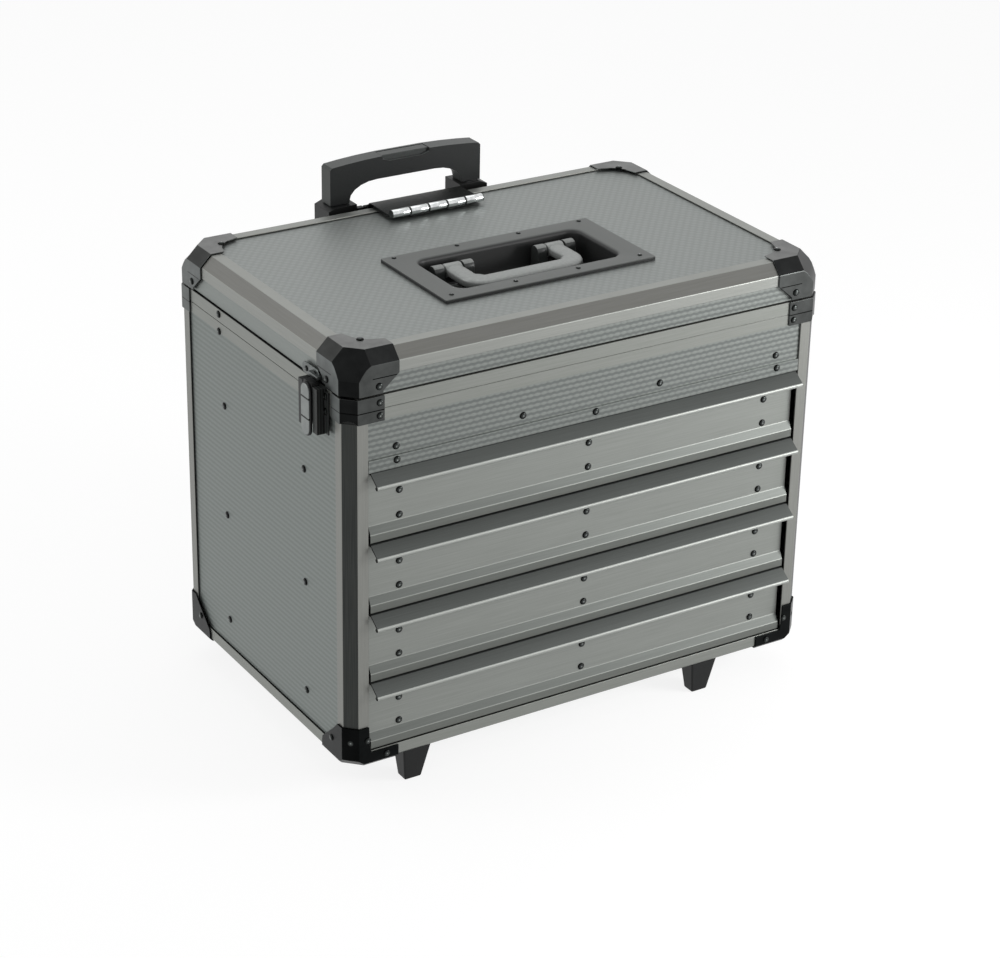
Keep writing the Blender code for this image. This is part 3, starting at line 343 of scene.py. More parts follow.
# The same sheet on the front. Its ends, round the sides of the lid, are a plain lighter grey.
front_sheet, tree, shader = new_finish("embossed_aluminium_front_sheet", sheet)
front_grain = 0.0066
place, colour = embossed(tree, shader, "X", "Z", length=front_grain, grains=0.36, low="#696d6b", high="#818582")
on_side = between(tree, place, "X", half_width - 0.006, half_width + 0.001)
smooth = {"data_type": "RGBA", "B": "#858a87"}
colour = add(tree, "ShaderNodeMix", smooth, {"Factor": on_side, "A": colour}).outputs["Result"]
tree.links.new(colour, shader.inputs["Base Color"])
dress(front_sheet, "lid_skirt", "front_header_panel")

# The side and back sheets: the same bare aluminium, rolled with fine ribs that run level, 4.8 mm apart, and only
# a trace of the grains. They are riveted into the frames of the body. Their ribs show as painted light and shade
# in the colour as well as relief.
side_sheet, tree, shader = new_finish("ribbed_aluminium_side_sheet", sheet)
embossed(tree, shader, "Y", "Z", length=front_grain, grains=0.2, low="#737976", high="#7e8481")
dress(side_sheet, "left_side_panel", "right_side_panel")
back_sheet, tree, shader = new_finish("ribbed_aluminium_back_sheet", sheet)
embossed(tree, shader, "X", "Z", length=front_grain, grains=0.2, low="#757b78", high="#828885")
dress(back_sheet, "rear_panel")

# Inside: the bottom, the compartment floor and four folded drawer trays of plain aluminium sheet. The trays run
# on two folded steel racks that are fixed to the sides of the body.


def drawn(name, settings, across, strength, low, high):
    """A drawn or rolled metal whose colour runs between two with its die lines."""
    finish, tree, shader = new_finish(name, settings)
    lines = drawn_lines(tree, shader, across, strength)[1]
    tree.links.new(varied(tree, low, high, lines), shader.inputs["Base Color"])
    return finish


def hazy(tree, shader, scale, strength=0.1, depth=0.0002):
    """Noise with a scale in patches per metre, also as a faint relief of a depth in metres."""
    place = add(tree, "ShaderNodeTexCoord").outputs["Object"]
    haze = add(tree, "ShaderNodeTexNoise", {"Scale": scale, "Detail": 4.0}, {"Vector": place}).outputs["Fac"]
    relief = add(tree, "ShaderNodeBump", {"Strength": strength, "Distance": depth}, {"Height": haze})
    tree.links.new(relief.outputs[0], shader.inputs["Normal"])
    return place, haze


def clouded(name, settings, low, high, *grain):
    """A finish whose colour runs between two with a haze. The grain is the haze's scale, strength and depth."""
    finish, tree, shader = new_finish(name, settings)
    haze = hazy(tree, shader, *grain)[1]
    tree.links.new(varied(tree, low, high, haze), shader.inputs["Base Color"])
    return finish


# Mill-finish aluminium as it leaves the rolls, bright and plain, with faint lines.
mill = drawn("mill_finish_aluminium", {"Metallic": 0.9, "Roughness": 0.4}, (1200, 20, 20), 0.12,
             "#8d8f8e", "#9da09e")
dress(mill, "bottom_panel", "compartment_floor", *["drawer_tray_%d" % n for n in (1, 2, 3, 4)])
# Zinc-plated steel, dull and a little patchy.
zinc = clouded("dull_zinc_plated_steel", {"Metallic": 0.9, "Roughness": 0.35}, "#7b7f7e", "#8b8f8d", 150.0)
dress(zinc, "drawer_runner_rack_left", "drawer_runner_rack_right")

# The corner caps and rim clips: pressed steel, plated and riveted over the extrusions. Each face carries a
# painted reflection by the way it looks, grey on the flats and nearly black on the bends.


def toned(tree, shader, amount, dull, lines=None):
    """Colours by each face's painted light and shade, dulled where an amount is low, nearly black where lines are
    1.
    """
    tone = add(tree, "ShaderNodeAttribute", {"attribute_name": "tone"}).outputs["Color"]
    clouds = varied(tree, dull, "#ffffff", amount)
    times = {"data_type": "RGBA", "blend_type": "MULTIPLY", "Factor": 1.0}
    colour = add(tree, "ShaderNodeMix", times, {"A": tone, "B": clouds}).outputs["Result"]
    if lines:
        black = {"data_type": "RGBA", "B": "#050505"}
        colour = add(tree, "ShaderNodeMix", black, {"Factor": lines, "A": colour}).outputs["Result"]
    tree.links.new(colour, shader.inputs["Base Color"])


# Black nickel on pressed steel: a dark metal with a soft shine and a slight haze.
plated, tree, shader = new_finish("black_nickel_plated_steel", {"Metallic": 1.0, "Roughness": 0.36})
place, haze = hazy(tree, shader, 90.0)
# Dark lines of painted shade: along a step pressed across each wing of a lid cap, and in the seam between
# the two halves of a rim clip.
step_start, step_end, step_low, step_high = 0.0233, 0.0461, lid_top - 0.0216, lid_top - 0.0208
seam_low, seam_high = lid_top - 0.0500, lid_top - 0.0491
half_depth, middle_y = (rear - front) / 2, (front + rear) / 2
wings = []
for axis, reach, middle in (("X", half_width, 0.0), ("Y", half_depth, middle_y)):
    from_edge = {"operation": "SUBTRACT", 0: reach}
    wings.append(add(tree, "ShaderNodeMath", from_edge, {1: outward(tree, place, axis, middle)}).outputs[0])
along_wing = add(tree, "ShaderNodeMath", {"operation": "MAXIMUM"}, {0: wings[0], 1: wings[1]}).outputs[0]
stepped = {"operation": "COMPARE", 1: (step_start + step_end) / 2, 2: (step_end - step_start) / 2}
on_step = add(tree, "ShaderNodeMath", stepped, {0: along_wing}).outputs[0]
at_step = between(tree, place, "Z", step_low, step_high)
step = add(tree, "ShaderNodeMath", {"operation": "MULTIPLY"}, {0: on_step, 1: at_step}).outputs[0]
seam = between(tree, place, "Z", seam_low, seam_high)
painted_crease_shade = add(tree, "ShaderNodeMath", {"operation": "MAXIMUM"}, {0: step, 1: seam}).outputs[0]
toned(tree, shader, haze, "#d8d8d8", painted_crease_shade)
lid_cap_tones = [((1, 0, 0), "#646867"), ((0, 1, 0), "#505251"), ((0, 0, 1), "#717271"), ((1, 1, 0), "#1a1b1b"),
                 ((1, 1, 1), "#1f2020"), ((1, 0, 1), "#363736"), ((0, 1, 1), "#2c2d2d")]
clip_tones = [((1, 0, 0), "#626665"), ((0, 1, 0), "#4d4f4e"), ((0, 0, 1), "#4a4b4b"), ((1, 1, 0), "#1b1c1c")]
base_tones = [((1, 0, 0), "#1a1c1c"), ((0, 1, 0), "#151717"), ((0, 0, 1), "#101111"), ((1, 1, 0), "#0f1010")]
for corner in CORNERS:
    softened("lid_corner_" + corner, plated, 0.0009, lid_cap_tones, 3)
    softened("rim_corner_clip_" + corner, plated, 0.0005, clip_tones)
    softened("bottom_corner_cap_" + corner, plated, 0.0008, base_tones, 3)

# The drawer fronts: one drawn aluminium section each, with a flap that slopes forward to a rolled pull lip, a
# flat face set back under it, and a bevel that comes forward to the lower lip. Each face's colour is a painted
# reflection and shade: bright on the lip, dull on the flap and the bevel, darker on the undersides and nearly
# black on the cut ends.


def quads(rows, columns, ring_rows=False):
    """The faces (i, j), (i + 1, j), (i + 1, j + 1), (i, j + 1) of a grid whose columns close into rings."""
    i, j = np.meshgrid(np.arange(rows if ring_rows else rows - 1), np.arange(columns), indexing="ij")
    i, j = i.ravel(), j.ravel()
    a, b = (i + 1) % rows, (j + 1) % columns
    return np.stack([i * columns + j, a * columns + j, a * columns + b, i * columns + b], 1)


def piece_of(name, points, faces, finish, angle=30):
    """A closed piece from whole arrays of points and faces, turned to face outwards, sharp over an angle."""
    mesh = bpy.data.meshes.new(name)
    mesh.from_pydata(np.asarray(points, float).reshape(-1, 3).tolist(), [], [list(face) for face in faces])
    skin = bmesh.new()
    skin.from_mesh(mesh)
    bmesh.ops.recalc_face_normals(skin, faces=skin.faces)
    skin.to_mesh(mesh)
    skin.free()
    mesh.materials.append(finish)
    mesh.shade_smooth()
    mesh.set_sharp_from_angle(angle=math.radians(angle))
    return bpy.data.objects.new(name, mesh)


def lofted(name, rings, finish, angle=30):
    """A skin over rings of equal count, each a (count, 3) row of the array, closed by a flat face at each end."""
    rings = np.asarray(rings, float)
    rows, columns = rings.shape[:2]
    ends = [list(range(columns)), list(range((rows - 1) * columns, rows * columns))]
    return piece_of(name, rings, quads(rows, columns).tolist() + ends, finish, angle)


def arc(centre, radius, start, stop, steps):
    """Points (across, up) on a circle: centre + radius (cos t, sin t), t in degrees."""
    t = np.radians(np.linspace(start, stop, steps))
    return np.stack([centre[0] + radius * np.cos(t), centre[1] + radius * np.sin(t)], 1)


# The section's points: how far behind the front of the case and how high above the drawer's top each one lies.
flap = np.array([-0.0109, -0.00785])
flap /= np.linalg.norm(flap)
slope = math.degrees(math.atan2(flap[1], flap[0]))
flap_end = np.array([-0.0102, -0.0081])
roll, half_sheet = 0.0015, 0.00065
roll_centre = flap_end + roll * np.array([-flap[1], flap[0]])
outer_roll = arc(roll_centre, roll + half_sheet, slope - 90, slope + 150, 13)
inner_roll = arc(roll_centre, roll - half_sheet, slope + 150, slope - 90, 13)
drawer_section = np.concatenate([
    [(0.012, 0), (0.0003, 0)], outer_roll, inner_roll,
    [(0.0006, -0.0015), (0.005, -0.0015), (0.005, -0.0496), (0.0047, -0.0504), (0.0013, -0.0566),
     (0.001, -0.0574), (0.001, -0.0641), (0.0025, -0.0641), (0.0025, -0.0574), (0.0065, -0.0504),
     (0.0065, -0.0015), (0.012, -0.0015)],
])
# One tone for each side of the section in turn, and one for its two cut ends.
flap_tone, lip_tone, face_tone, edge_tone, bevel_tone = "#5a5d5b", "#a2a5a1", "#8d908c", "#858884", "#626562"
under_tone, lower_lip_tone, hidden_tone, end_tone = "#5a5d5b", "#6f726e", "#808380", "#1d1f1e"
section_tones = [
    *[flap_tone] * 2, *[lip_tone] * 8, *[face_tone] * 18, under_tone, face_tone, edge_tone, bevel_tone, edge_tone,
    lower_lip_tone, under_tone, *[hidden_tone] * 5, *[end_tone] * 2,
]
# Drawn aluminium, satin anodised: a soft sheen with fine level lines.
anodised, tree, shader = new_finish("satin_anodised_drawer_section", {"Metallic": 0.8, "Roughness": 0.5})
lines = drawn_lines(tree, shader, (18, 1300, 1300), 0.05)[1]
toned(tree, shader, lines, "#f0f0f0")
drawer_tops = []
for number in (1, 2, 3, 4):
    node = "drawer_front_%d" % number
    low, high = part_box(node)
    drawer_tops.append(high.z)
    back, up = front + drawer_section[:, 0], high.z + drawer_section[:, 1]
    rings = [np.stack([np.full(len(drawer_section), x), back, up], 1) for x in (low.x, high.x)]
    piece = lofted(node + "_section", rings, anodised, 20)
    tinted(piece.data, [linear(tone) for tone in section_tones])
    fix(piece, "drawer_%d" % number, "drawer_front", node)

# The rivets: steel pop rivets with domed heads 6.6 mm across and a pin hole in the crown. They hold the sheets to
# the extrusions, the caps to the corners, the trays to the drawer fronts and the catches to the sides.
# Black zinc on steel: dark and shiny. A head is black round its rim and paler up its dome to a painted
# highlight on its crown and pin end.
rivet_steel, tree, shader = new_finish("black_zinc_rivet_steel", {"Metallic": 1.0, "Roughness": 0.24})
haze = hazy(tree, shader, 400.0)[1]
toned(tree, shader, haze, "#d0d0d0")
dome = np.array([(0.86, -0.15), (1.0, -0.05), (1.0, 0.08), (0.93, 0.2), (0.74, 0.33), (0.48, 0.42), (0.26, 0.44),
                 (0.22, 0.34)])
dome_tones = ("#0c0d0d", "#0c0d0d", "#101111", "#1d1f1e", "#343736", "#4c4f4e", "#9da19f")
back_tone, pin_tone = "#0c0d0d", "#8c908e"


def rivets(name, body, slot, places, radius=0.0033):
    """Domed heads at (x, y, z, direction) places: rings of radius r at height h, turned about each direction.

    A ring's points are place + h n + r (a cos t + b sin t), with n the direction and a, b square to it."""
    shape = dome * radius
    spots = np.array([place[:3] for place in places], float)
    out = np.array([place[3] for place in places], float)
    side = np.where(np.abs(out[:, 2:3]) > 0.5, [[1.0, 0, 0]], [[0, 0, 1.0]])
    a = np.cross(out, side)
    b = np.cross(out, a)
    t = np.linspace(0, 2 * np.pi, 14, endpoint=False)
    turned = a[:, None, :] * np.cos(t)[None, :, None] + b[:, None, :] * np.sin(t)[None, :, None]
    points = (spots[:, None, None, :] + shape[None, :, 1, None, None] * out[:, None, None, :]
              + shape[None, :, 0, None, None] * turned[:, None, :, :])
    rows, columns, heads = len(shape), len(t), len(spots)
    one, count = quads(rows, columns), rows * columns
    faces = [face for k in range(heads) for face in (one + k * count).tolist()]
    for start in range(0, heads * count, count):
        faces += [list(range(start, start + columns)), list(range(start + count - columns, start + count))]
    piece = piece_of(name, points, faces, rivet_steel, 50)
    bands = np.repeat([linear(tone) for tone in dome_tones], columns, axis=0)
    ends = np.tile([linear(back_tone), linear(pin_tone)], (heads, 1))
    tinted(piece.data, np.concatenate([np.tile(bands, (heads, 1)), ends]))
    fix(piece, body, slot)


def mirrored(places, front_back=False):
    """Adds each place's mirror images across the middle of the case, side to side and also front to back."""
    found = places + [(-x, y, z, (-n[0], n[1], n[2])) for x, y, z, n in places]
    if front_back:
        found += [(x, front + rear - y, z, (n[0], -n[1], n[2])) for x, y, z, n in found]
    return found


FORWARD, BACK, LEFT, UP = (0, -1, 0), (0, 1, 0), (-1, 0, 0), (0, 0, 1)
left = -half_width
proud, inset = 0.0015, 0.0018
rivets("lid_cap_rivets", "lid", "corner_cap", mirrored([
    (left + 0.029, front + 0.0296, lid_top + proud, UP),
    (left + 0.0295, front - proud, lid_top - 0.0285, FORWARD),
    (left - proud, front + 0.031, lid_top - 0.0279, LEFT),
], True))
rivets("strike_rivets", "lid", "latch_metal", mirrored([
    (left - proud, front + 0.0654, lid_top - 0.0311, LEFT),
    (left - proud, front + 0.0508, lid_top - 0.0305, LEFT),
]), 0.0026)
rivets("body_rivets", "case", "corner_cap", mirrored([
    (left + 0.030, front - proud, lid_top - 0.0429, FORWARD),
    (left + 0.030, front - proud, lid_top - 0.0544, FORWARD),
    (left + 0.0178, front - proud, lid_top - 0.357, FORWARD),
    (left + 0.0366, front - proud, lid_top - 0.3747, FORWARD),
    (left - proud, front + 0.028, lid_top - 0.363, LEFT),
    (left + 0.0045, front + 0.0045, lid_top - 0.3585, (-0.7071, -0.7071, 0)),
], True), 0.0031)
rivets("header_rivets", "case", "extrusion", [
    *[(left + x, front + inset, lid_top - 0.0865, FORWARD) for x in (0.047, 0.170, 0.310, 0.435)],
    *[(left + x, front + 0.0003, lid_top - 0.0983, FORWARD) for x in (0.047, 0.243, 0.436)],
])
sheet_rows = (0.1285, 0.2355, 0.342)
rivets("side_rivets", "case", "extrusion", mirrored([
    *[(left + inset, front + y, lid_top - down, LEFT) for y in (0.0785, 0.227) for down in sheet_rows],
    *[(left, front + 0.230, lid_top - down, LEFT) for down in (0.042, 0.058)],
    *[(left - proud, front + 0.033, lid_top - down, LEFT) for down in (0.0438, 0.0572)],
    *[(left, rear - 0.0185, lid_top - down, LEFT) for down in (0.0435, 0.0545)],
]), 0.0034)
rivets("back_rivets", "case", "extrusion", mirrored([
    (x, rear - inset, lid_top - down, BACK) for x in (-0.205, -0.035) for down in sheet_rows]), 0.0034)
for number, top in zip((1, 2, 3, 4), drawer_tops):
    rivets("drawer_%d_rivets" % number, "drawer_%d" % number, "drawer_front", [
        (left + x, front + 0.005, top - down, FORWARD)
        for x in (0.052, 0.240, 0.427) for down in (0.0227, 0.0457)])

# The handle tray: a vacuum-formed black dish whose flat bezel lies on the lid sheet, held by eight small rivets.
# Its edge rolls softly down into the well, and its floor is ribbed.
bezel_low, bezel_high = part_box("handle_tray")
tray_middle = (0, (bezel_low.y + bezel_high.y) / 2)
wide, deep = (bezel_high.x - bezel_low.x) / 2, (bezel_high.y - bezel_low.y) / 2
well_x, well_y, well_low = 0.083, 0.03725, bezel_low.z + 0.0015
rib_pitch, rib_margin = 0.0036, 0.0045


def ribs(tree, place, axis, pitch, middle=0.0):
    """A wave across ribs of a pitch: cos(2 pi d / pitch), with d the distance from a middle along an axis."""
    turns = {"operation": "MULTIPLY", 1: 2 * math.pi / pitch}
    angle = add(tree, "ShaderNodeMath", turns, {0: outward(tree, place, axis, middle)}).outputs[0]
    return add(tree, "ShaderNodeMath", {"operation": "COSINE"}, {0: angle}).outputs[0]


# Black moulding plastic, half matt, black down the sides of the well. The flat bezel is painted grey, a painted
# light on its top that fades to black down its edge, and the ribs on the well's floor are painted pale and dark
# in turn, as painted light and shade.
tray_plastic, tree, shader = new_finish("moulded_black_tray_plastic", {"Roughness": 0.48, "IOR": 1.5})
place = hazy(tree, shader, 1500.0, 0.2, 0.0001)[0]
bezel_light_range = {"From Min": bezel_high.z - 0.0012, "From Max": bezel_high.z - 0.0001}
level = add(tree, "ShaderNodeMapRange", bezel_light_range, {"Value": outward(tree, place, "Z")}).outputs[0]
floor_tone = varied(tree, "#5a5d5b", "#8a8d8b", ribs(tree, place, "Y", rib_pitch, tray_middle[1]))
on_floor = between(tree, place, "Z", well_low - 0.001, well_low + 0.0035)
for axis, centre, half in (("X", 0, well_x), ("Y", tray_middle[1], well_y)):
    inside = between(tree, place, axis, -half, half - rib_margin, centre)
    on_floor = add(tree, "ShaderNodeMath", {"operation": "MULTIPLY"}, {0: on_floor, 1: inside}).outputs[0]
plain_tones = {"data_type": "RGBA", "A": "#101111", "B": "#5b5e5c"}
sides_tone = add(tree, "ShaderNodeMix", plain_tones, {"Factor": level}).outputs["Result"]
tray_tones = {"Factor": on_floor, "A": sides_tone, "B": floor_tone}
colour = add(tree, "ShaderNodeMix", {"data_type": "RGBA"}, tray_tones).outputs["Result"]
tree.links.new(colour, shader.inputs["Base Color"])


def rounded(half_x, half_y, radius, z, centre, steps=8):
    """A rounded rectangle at a height: four quarter circles of one radius, joined by straight sides."""
    t = np.linspace(0, np.pi / 2, steps)
    turns = np.concatenate([t + quarter * np.pi / 2 for quarter in range(4)])
    sign_x = np.repeat([1, -1, -1, 1], steps)
    sign_y = np.repeat([1, 1, -1, -1], steps)
    x = sign_x * (half_x - radius) + radius * np.cos(turns)
    y = sign_y * (half_y - radius) + radius * np.sin(turns)
    return np.stack([x + centre[0], y + centre[1], np.full(len(x), z)], 1)


# Rings (half width, half depth, corner radius, height) from the underside, out over the bezel and down the well.
soft, wall, under = 0.004, 0.0013, lid_top - 0.0015
outline = [
    (well_x - 0.003, well_y - 0.003, 0.008, bezel_low.z),
    (well_x + wall, well_y + wall, 0.010, bezel_low.z + 0.003),
    (well_x + wall, well_y + wall, 0.010, under),
    (wide, deep, 0.001, under),
    (wide, deep, 0.001, bezel_high.z - 0.0003),
    (wide - 0.0003, deep - 0.0003, 0.001, bezel_high.z),
]
for t in np.linspace(0, np.pi / 2, 7):
    out = soft * (1 - math.sin(t))
    outline.append((well_x + out, well_y + out, 0.010 + out, bezel_high.z - soft * (1 - math.cos(t))))
outline += [
    (well_x - 0.0008, well_y - 0.0008, 0.009, well_low + 0.005),
    (well_x - 0.0022, well_y - 0.0022, 0.008, well_low + 0.0013),
    (well_x - 0.005, well_y - 0.005, 0.006, well_low),
]
dish = lofted("handle_tray_dish", [rounded(*ring, tray_middle) for ring in outline], tray_plastic, 35)
fix(dish, "lid", "black_plastic", "handle_tray")
rivets("bezel_rivets", "lid", "black_plastic", [
    (left + x, front + y, bezel_high.z, UP)
    for x in (0.144, 0.208, 0.272, 0.3365) for y in (0.0775, 0.1755)], 0.0022)

# The carry handle: a die-cast bail with a soft oval section, folded flat in the tray. It turns on two steel pins
# between four rounded lugs that stand on the floor of the tray.
# Satin grey paint on the casting, with a faint orange peel.
cast = clouded("satin_painted_die_casting", {"Metallic": 0.35, "Roughness": 0.38}, "#8c8f8d", "#989b99",
               400.0, 0.15, 0.0001)
pivot_y, pivot_z = front + 0.14925, lid_top - 0.008
arm_out, arm_in = 0.0615, 0.044
bar_y, arm_x, turn_radius = front + 0.1085, (arm_out + arm_in) / 2, 0.013
oval_across, oval_up, inner_growth = 0.00875, 0.00475, 0.35


def carried(name, path, sides, section, inner, finish, angle=60):
    """A section carried along a flat path: path + across * side + up * Z, for each (across, up) of the section.

    Where across is negative, on the inside of the bend, it grows by the factor inner at that point."""
    across = np.where(section[None, :, 0] < 0, section[None, :, 0] * inner[:, None], section[None, :, 0])
    rings = path[:, None, :] + across[:, :, None] * sides[:, None, :]
    rings = rings + section[None, :, 1, None] * np.array([0, 0, 1.0])
    return lofted(name, rings, finish, angle)


t = np.linspace(0, 2 * np.pi, 28, endpoint=False)
oval = np.stack([oval_across * np.sign(np.cos(t)) * np.abs(np.cos(t)) ** 0.6,
                 oval_up * np.sign(np.sin(t)) * np.abs(np.sin(t)) ** 0.75], 1)
turn = np.linspace(0, np.pi / 2, 9)
quarter = np.stack([-arm_x + turn_radius * (1 - np.cos(turn)), bar_y + turn_radius * (1 - np.sin(turn))], 1)
arm_end = pivot_y - 0.001
path = np.concatenate([[(-arm_x, arm_end)], quarter, quarter[::-1] * (-1, 1), [(arm_x, arm_end)]])
path = np.column_stack([path, np.full(len(path), pivot_z)])
way = np.gradient(path, axis=0)
way[:2], way[-2:] = (0, -1, 0), (0, 1, 0)
way /= np.linalg.norm(way, axis=1, keepdims=True)
sides = np.cross(way, (0, 0, 1.0))
bend = np.concatenate([[0], np.sin(2 * turn), np.sin(2 * turn), [0]])
bail = carried("carry_handle_bail", path, sides, oval, 1 + inner_growth * bend, cast)
fix(bail, "handle", "handle_metal", "carry_handle")


def turned_part(name, profile, centre, finish, sides=32, angle=30):
    """(x, radius) pairs turned about a line along X: (x, y + r cos t, z + r sin t), with flat ends."""
    t = np.linspace(0, 2 * np.pi, sides, endpoint=False)
    profile = np.asarray(profile, float)
    x, r = np.repeat(profile[:, :1], sides, 1), profile[:, 1:]
    return lofted(name, np.stack([x, centre[0] + r * np.cos(t), centre[1] + r * np.sin(t)], 2), finish, angle)


# The lugs are part of the black moulding. Their crowns are painted pale, a painted light, and their sides dark
# grey.
lug_plastic, tree, shader = new_finish("moulded_handle_lug", {"Roughness": 0.42, "IOR": 1.5})
haze = hazy(tree, shader, 400.0)[1]
toned(tree, shader, haze, "#dedede")
lug_tones = [((0, 0, 1), "#8f9290"), ((0, 1, 0), "#2e3130"), ((1, 0, 0), "#2e3130")]
lug_wide, lug_edge, lug_shrink, crown, foot = 0.010, 0.0006, 1 - 0.06, 0.0061, 0.0064
lug_shape = np.concatenate([
    arc((pivot_y, pivot_z), crown, 0, 180, 17),
    [(pivot_y - foot, well_low - 0.0005), (pivot_y + foot, well_low - 0.0005)],
])
lug_middle = lug_shape.mean(axis=0)
knuckle = [(-0.0087, 0.0046), (-0.0081, 0.0056), (-0.0072, 0.006), (0.0072, 0.006), (0.0081, 0.0056),
           (0.0087, 0.0046)]
for side, word in ((-1, "left"), (1, "right")):
    ends = [(side * (arm_x + x), r) for x, r in knuckle]
    fix(turned_part("carry_handle_knuckle_" + word, ends, (pivot_y, pivot_z), cast), "handle", "handle_metal")
    for start, which in ((arm_out + 0.0012, "outer"), (arm_in - 0.0112, "inner")):
        x_low, x_high = sorted((side * start, side * (start + lug_wide)))
        rings = []
        sizes = ((x_low, lug_shrink), (x_low + lug_edge, 1), (x_high - lug_edge, 1), (x_high, lug_shrink))
        for x, size in sizes:
            ring = lug_middle + (lug_shape - lug_middle) * size
            rings.append(np.column_stack([np.full(len(ring), x), ring]))
        lug = lofted("handle_lug_%s_%s" % (word, which), rings, lug_plastic)
        shaded(lug.data, lug_tones)
        fix(lug, "lid", "black_plastic")

# The hinge: a steel plate pivots in the bracket behind the case, and its three knuckles share a pin with the two
# knuckles of the leaf on the lid.
# Chrome on the barrel: nearly a mirror, with a bright line along its crown.
chrome = clouded("chromed_hinge_barrel", {"Metallic": 1.0, "Roughness": 0.1}, "#c9cccc", "#e2e4e4", 300.0, 0.02)
# Dark polished steel on the plate and the leaf, with faint lines along them.
plate_steel = drawn("dark_polished_hinge_plate", {"Metallic": 0.9, "Roughness": 0.25}, (30, 700, 700), 0.1,
                    "#3a3c3b", "#464847")
dress(plate_steel, "lid_hinge_leaf")
softened("hinge_link_plate", plate_steel, 0.0003)
barrel_y, barrel_z, barrel = rear - 0.0455, lid_top + 0.005, 0.00385
barrel_start, knuckle_step, half_gap = -0.0485, 0.097 / 5, 0.00025
for k in range(5):
    start = barrel_start + k * knuckle_step + half_gap
    stop = barrel_start + (k + 1) * knuckle_step - half_gap
    ends = [(start, barrel * 0.72), (start + 0.0004, barrel * 0.93), (start + 0.001, barrel),
            (stop - 0.001, barrel), (stop - 0.0004, barrel * 0.93), (stop, barrel * 0.72)]
    knuckle_piece = turned_part("hinge_knuckle_%d" % (k + 1), ends, (barrel_y, barrel_z), chrome)
    fix(knuckle_piece, "lid" if k % 2 else "link", "chrome")

# The catches: plated levers turn on pins in black moulded bases on the sides of the body and hook over plated
# strikes on the lid. Each lever is a moulded core, round at both ends, under a face plate with two grooves.
black_abs = {"IOR": 1.5, "Specular IOR Level": 0.25}
# Moulded black ABS, with a fine grain and little shine.
moulded = clouded("moulded_black_abs", {"Roughness": 0.42, **black_abs}, "#0f1010", "#171818",
                  900.0, 0.25, 0.00015)
# Plated steel of the strikes, darker than the levers and slightly clouded.
strike_steel = clouded("plated_strike_steel", {"Metallic": 0.9, "Roughness": 0.3}, "#5c605f", "#6e7271", 200.0)
# The same ABS on the bases, with ribs 2.6 mm apart across the width, shown only as grey lines of painted light.
ribbed, tree, shader = new_finish("ribbed_black_catch_base", {"Roughness": 0.4, **black_abs})
place = hazy(tree, shader, 900.0, 0.1, 0.0001)[0]
wave = ribs(tree, place, "X", 0.0026)
tree.links.new(varied(tree, "#090a0a", "#2c2f2e", wave), shader.inputs["Base Color"])
# Dull zinc plate on the levers' faces. The grooves in it are painted dark, a painted shade.
plate_zinc, tree, shader = new_finish("grooved_zinc_face_plate", {"Metallic": 0.8, "Roughness": 0.4})
place, haze = hazy(tree, shader, 150.0)
half_groove = 0.0008
upper, lower = [between(tree, place, "Z", lid_top - down - half_groove, lid_top - down + half_groove)
                for down in (0.0485, 0.0665)]
grooves = add(tree, "ShaderNodeMath", {"operation": "MAXIMUM"}, {0: upper, 1: lower}).outputs[0]
groove_tones = {"Factor": grooves, "A": varied(tree, "#7c807f", "#878b89", haze)}
colour = add(tree, "ShaderNodeMix", {"data_type": "RGBA", "B": "#090a0a"}, groove_tones).outputs["Result"]
tree.links.new(colour, shader.inputs["Base Color"])


def upright(half_y, half_z, radius, x, centre):
    """A rounded rectangle in an upright plane at x: the level one with its axes changed round."""
    return rounded(half_y, half_z, radius, x, centre)[:, [2, 0, 1]]


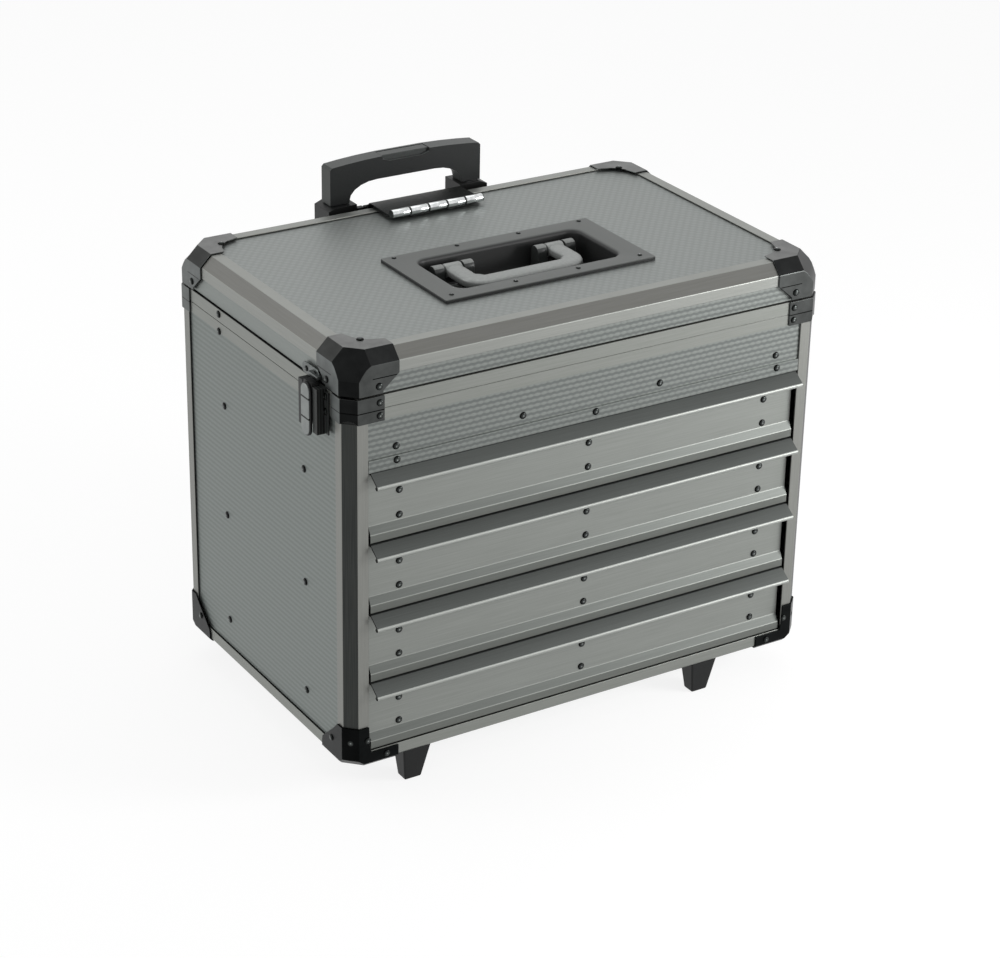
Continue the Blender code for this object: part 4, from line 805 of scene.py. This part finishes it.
# Every list of pairs below runs outwards: how far along x a ring lies and how much it is drawn in there.
strike_y, strike_half, strike_corner = front + 0.0585, 0.0145, 0.0045
lip_y, lip_rise, lip_half, lip_thick = front + 0.0495, 0.006, 0.0079, 0.00075
hub_drop, hub_half, plate_inset, core_clearance = 0.0055, 0.0049, 0.0012, 0.0011
for sign, side in ((-1, "left"), (1, "right")):
    softened("latch_base_" + side, ribbed, 0.0004)
    low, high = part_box("latch_strike_" + side)
    inner, outer = sorted((abs(low.x), abs(high.x)))
    centre, half_z = (strike_y, (low.z + high.z) / 2), (high.z - low.z) / 2
    rings = [upright(strike_half - ease, half_z - ease, strike_corner - ease, sign * (inner + x), centre)
             for x, ease in ((0, 0), (0.0008, 0), (0.0012, 0.0004))]
    strike = lofted("latch_strike_plate_" + side, rings, strike_steel, 25)
    fix(strike, "lid", "latch_metal", "latch_strike_" + side)
    centre = (lip_y, low.z + lip_rise)
    rings = [upright(lip_half - ease, lip_thick, 0.0004, sign * x, centre)
             for x, ease in ((inner + 0.0004, 0), (outer - 0.0003, 0), (outer, 0.0003))]
    fix(lofted("latch_strike_lip_" + side, rings, strike_steel, 25), "lid", "latch_metal")
    low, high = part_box("latch_lever_" + side)
    body = home["latch_lever_" + side]
    outer = max(abs(low.x), abs(high.x))
    # The core's upper end stops short of the knuckle's edge, to clear the strike as the lever swings up.
    top = high.z - core_clearance
    centre, half_y, half_z = ((low.y + high.y) / 2, (low.z + top) / 2), (high.y - low.y) / 2, (top - low.z) / 2
    hub = (centre[0], high.z - hub_drop)
    core = [upright(half_y - 0.0003, hub_half, 0.003, sign * (outer - x), hub) for x in (0.0095, 0.003)]
    core += [upright(half_y - ease, half_z - ease, half_y - ease - 0.0001, sign * (outer - x), centre)
             for x, ease in ((0.0029, 0.0002), (0.0022, 0), (0.0014, 0), (0.0010, 0.0004))]
    fix(lofted("latch_core_" + side, core, moulded, 40), body, "latch_metal", "latch_lever_" + side)
    plate = [upright(half_y - plate_inset - ease, half_z - plate_inset - ease, half_y - 0.0013 - ease,
                     sign * (outer - x), centre)
             for x, ease in ((0.0011, 0), (0.0004, 0), (0, 0.0004))]
    fix(lofted("latch_plate_" + side, plate, plate_zinc, 25), body, "latch_metal")

# The trolley: outer tubes and a moulded bracket on the back, inner tubes that slide up, and a moulded grip with a
# release button in its crown.
# Satin anodised tube: bright grey with long fine lines.
tube_finish = drawn("satin_anodised_tube", {"Metallic": 0.9, "Roughness": 0.35}, (1300, 1300, 15), 0.12,
                    "#9b9e9e", "#a9acab")
tubes = ["trolley_%s_tube_%s" % (which, side) for which in ("inner", "outer") for side in ("left", "right")]
dress(tube_finish, *tubes)
softened("trolley_cross_bracket", moulded, 0.0008)
# Dark grey moulded plastic with a fine grain. The paler shades of its crown and ends stand for the light on
# them.
grip_plastic, tree, shader = new_finish("moulded_dark_grey_grip", {"Roughness": 0.45, **black_abs})
grain = hazy(tree, shader, 900.0, 0.2, 0.0001)[1]
toned(tree, shader, grain, "#dcdcdc")
crown_tone, side_tone = ((0, 0, 1), "#565958"), ((1, 0, 0), "#444746")
softened("trolley_grip", grip_plastic, 0.0009, [crown_tone, side_tone, ((0, 1, 0), "#242626")], 3, 0.0004)
# The button's front is painted paler than the grip's front, a painted light in its slot.
softened("release_button", grip_plastic, 0.0007, [crown_tone, side_tone, ((0, 1, 0), "#414443")], 3)

# The front feet: blocks moulded of the same black plastic as the catches' cores, wide under the sill and drawn
# in to a small tip.
for side in ("left", "right"):
    softened("front_foot_" + side, moulded, 0.0016, None, 4)

# The wheels: rubber tyres on moulded hubs, which turn on axles in black moulded housings at the lower back
# corners. The tread has two grooves, and the hubs are hollow on both sides.
# Hard rubber, matt and a little dusty.
rubber = clouded("hard_rubber_tyre", {"Roughness": 0.7, "IOR": 1.52}, "#1a1a1a", "#2a2a29", 120.0, 0.2)
# Grey moulded plastic, half matt.
hub_plastic = clouded("grey_moulded_hub", {"Roughness": 0.45, "IOR": 1.5}, "#5c5e5e", "#686a6a", 500.0)
# Each profile runs round (x, radius) as shares of half the wheel's width and of its radius.
tread = [(-1, 0.66), (-1, 0.86), (-0.86, 0.95), (-0.6, 0.99), (-0.3, 1), (-0.26, 0.965), (-0.18, 0.965),
         (-0.14, 1), (0.14, 1), (0.18, 0.965), (0.26, 0.965), (0.3, 1), (0.6, 0.99), (0.86, 0.95), (1, 0.86),
         (1, 0.66)]
bore_radius = 0.0043


def ring_part(name, profile, centre, finish, sides=48, angle=30):
    """A closed profile of (x, radius) pairs turned about a line along X, joined to itself both ways."""
    t = np.linspace(0, 2 * np.pi, sides, endpoint=False)
    profile = np.asarray(profile, float)
    x, r = np.repeat(profile[:, :1], sides, 1), profile[:, 1:]
    points = np.stack([x, centre[0] + r * np.cos(t), centre[1] + r * np.sin(t)], 2)
    return piece_of(name, points, quads(len(profile), sides, True).tolist(), finish, angle)


for side, body in (("left", "wheel_l"), ("right", "wheel_r")):
    low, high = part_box("wheel_" + side)
    middle, half = (low.x + high.x) / 2, (high.x - low.x) / 2
    centre, radius = ((low.y + high.y) / 2, (low.z + high.z) / 2), (high.z - low.z) / 2
    tyre = [(middle + x * half, r * radius) for x, r in tread]
    fix(ring_part("tyre_" + side, tyre, centre, rubber), body, "tyre", "wheel_" + side)
    bore = bore_radius / radius
    dished = [(-0.9, bore), (-0.9, 0.27), (-0.8, 0.30), (-0.35, 0.32), (-0.35, 0.56), (-0.85, 0.6),
              (-0.95, 0.65), (0.95, 0.65), (0.85, 0.6), (0.35, 0.56), (0.35, 0.32), (0.8, 0.30), (0.9, 0.27),
              (0.9, bore)]
    hub = [(middle + x * half, r * radius) for x, r in dished]
    fix(ring_part("hub_" + side, hub, centre, hub_plastic), body, "tyre")
    softened("wheel_housing_" + side, moulded, 0.0006)
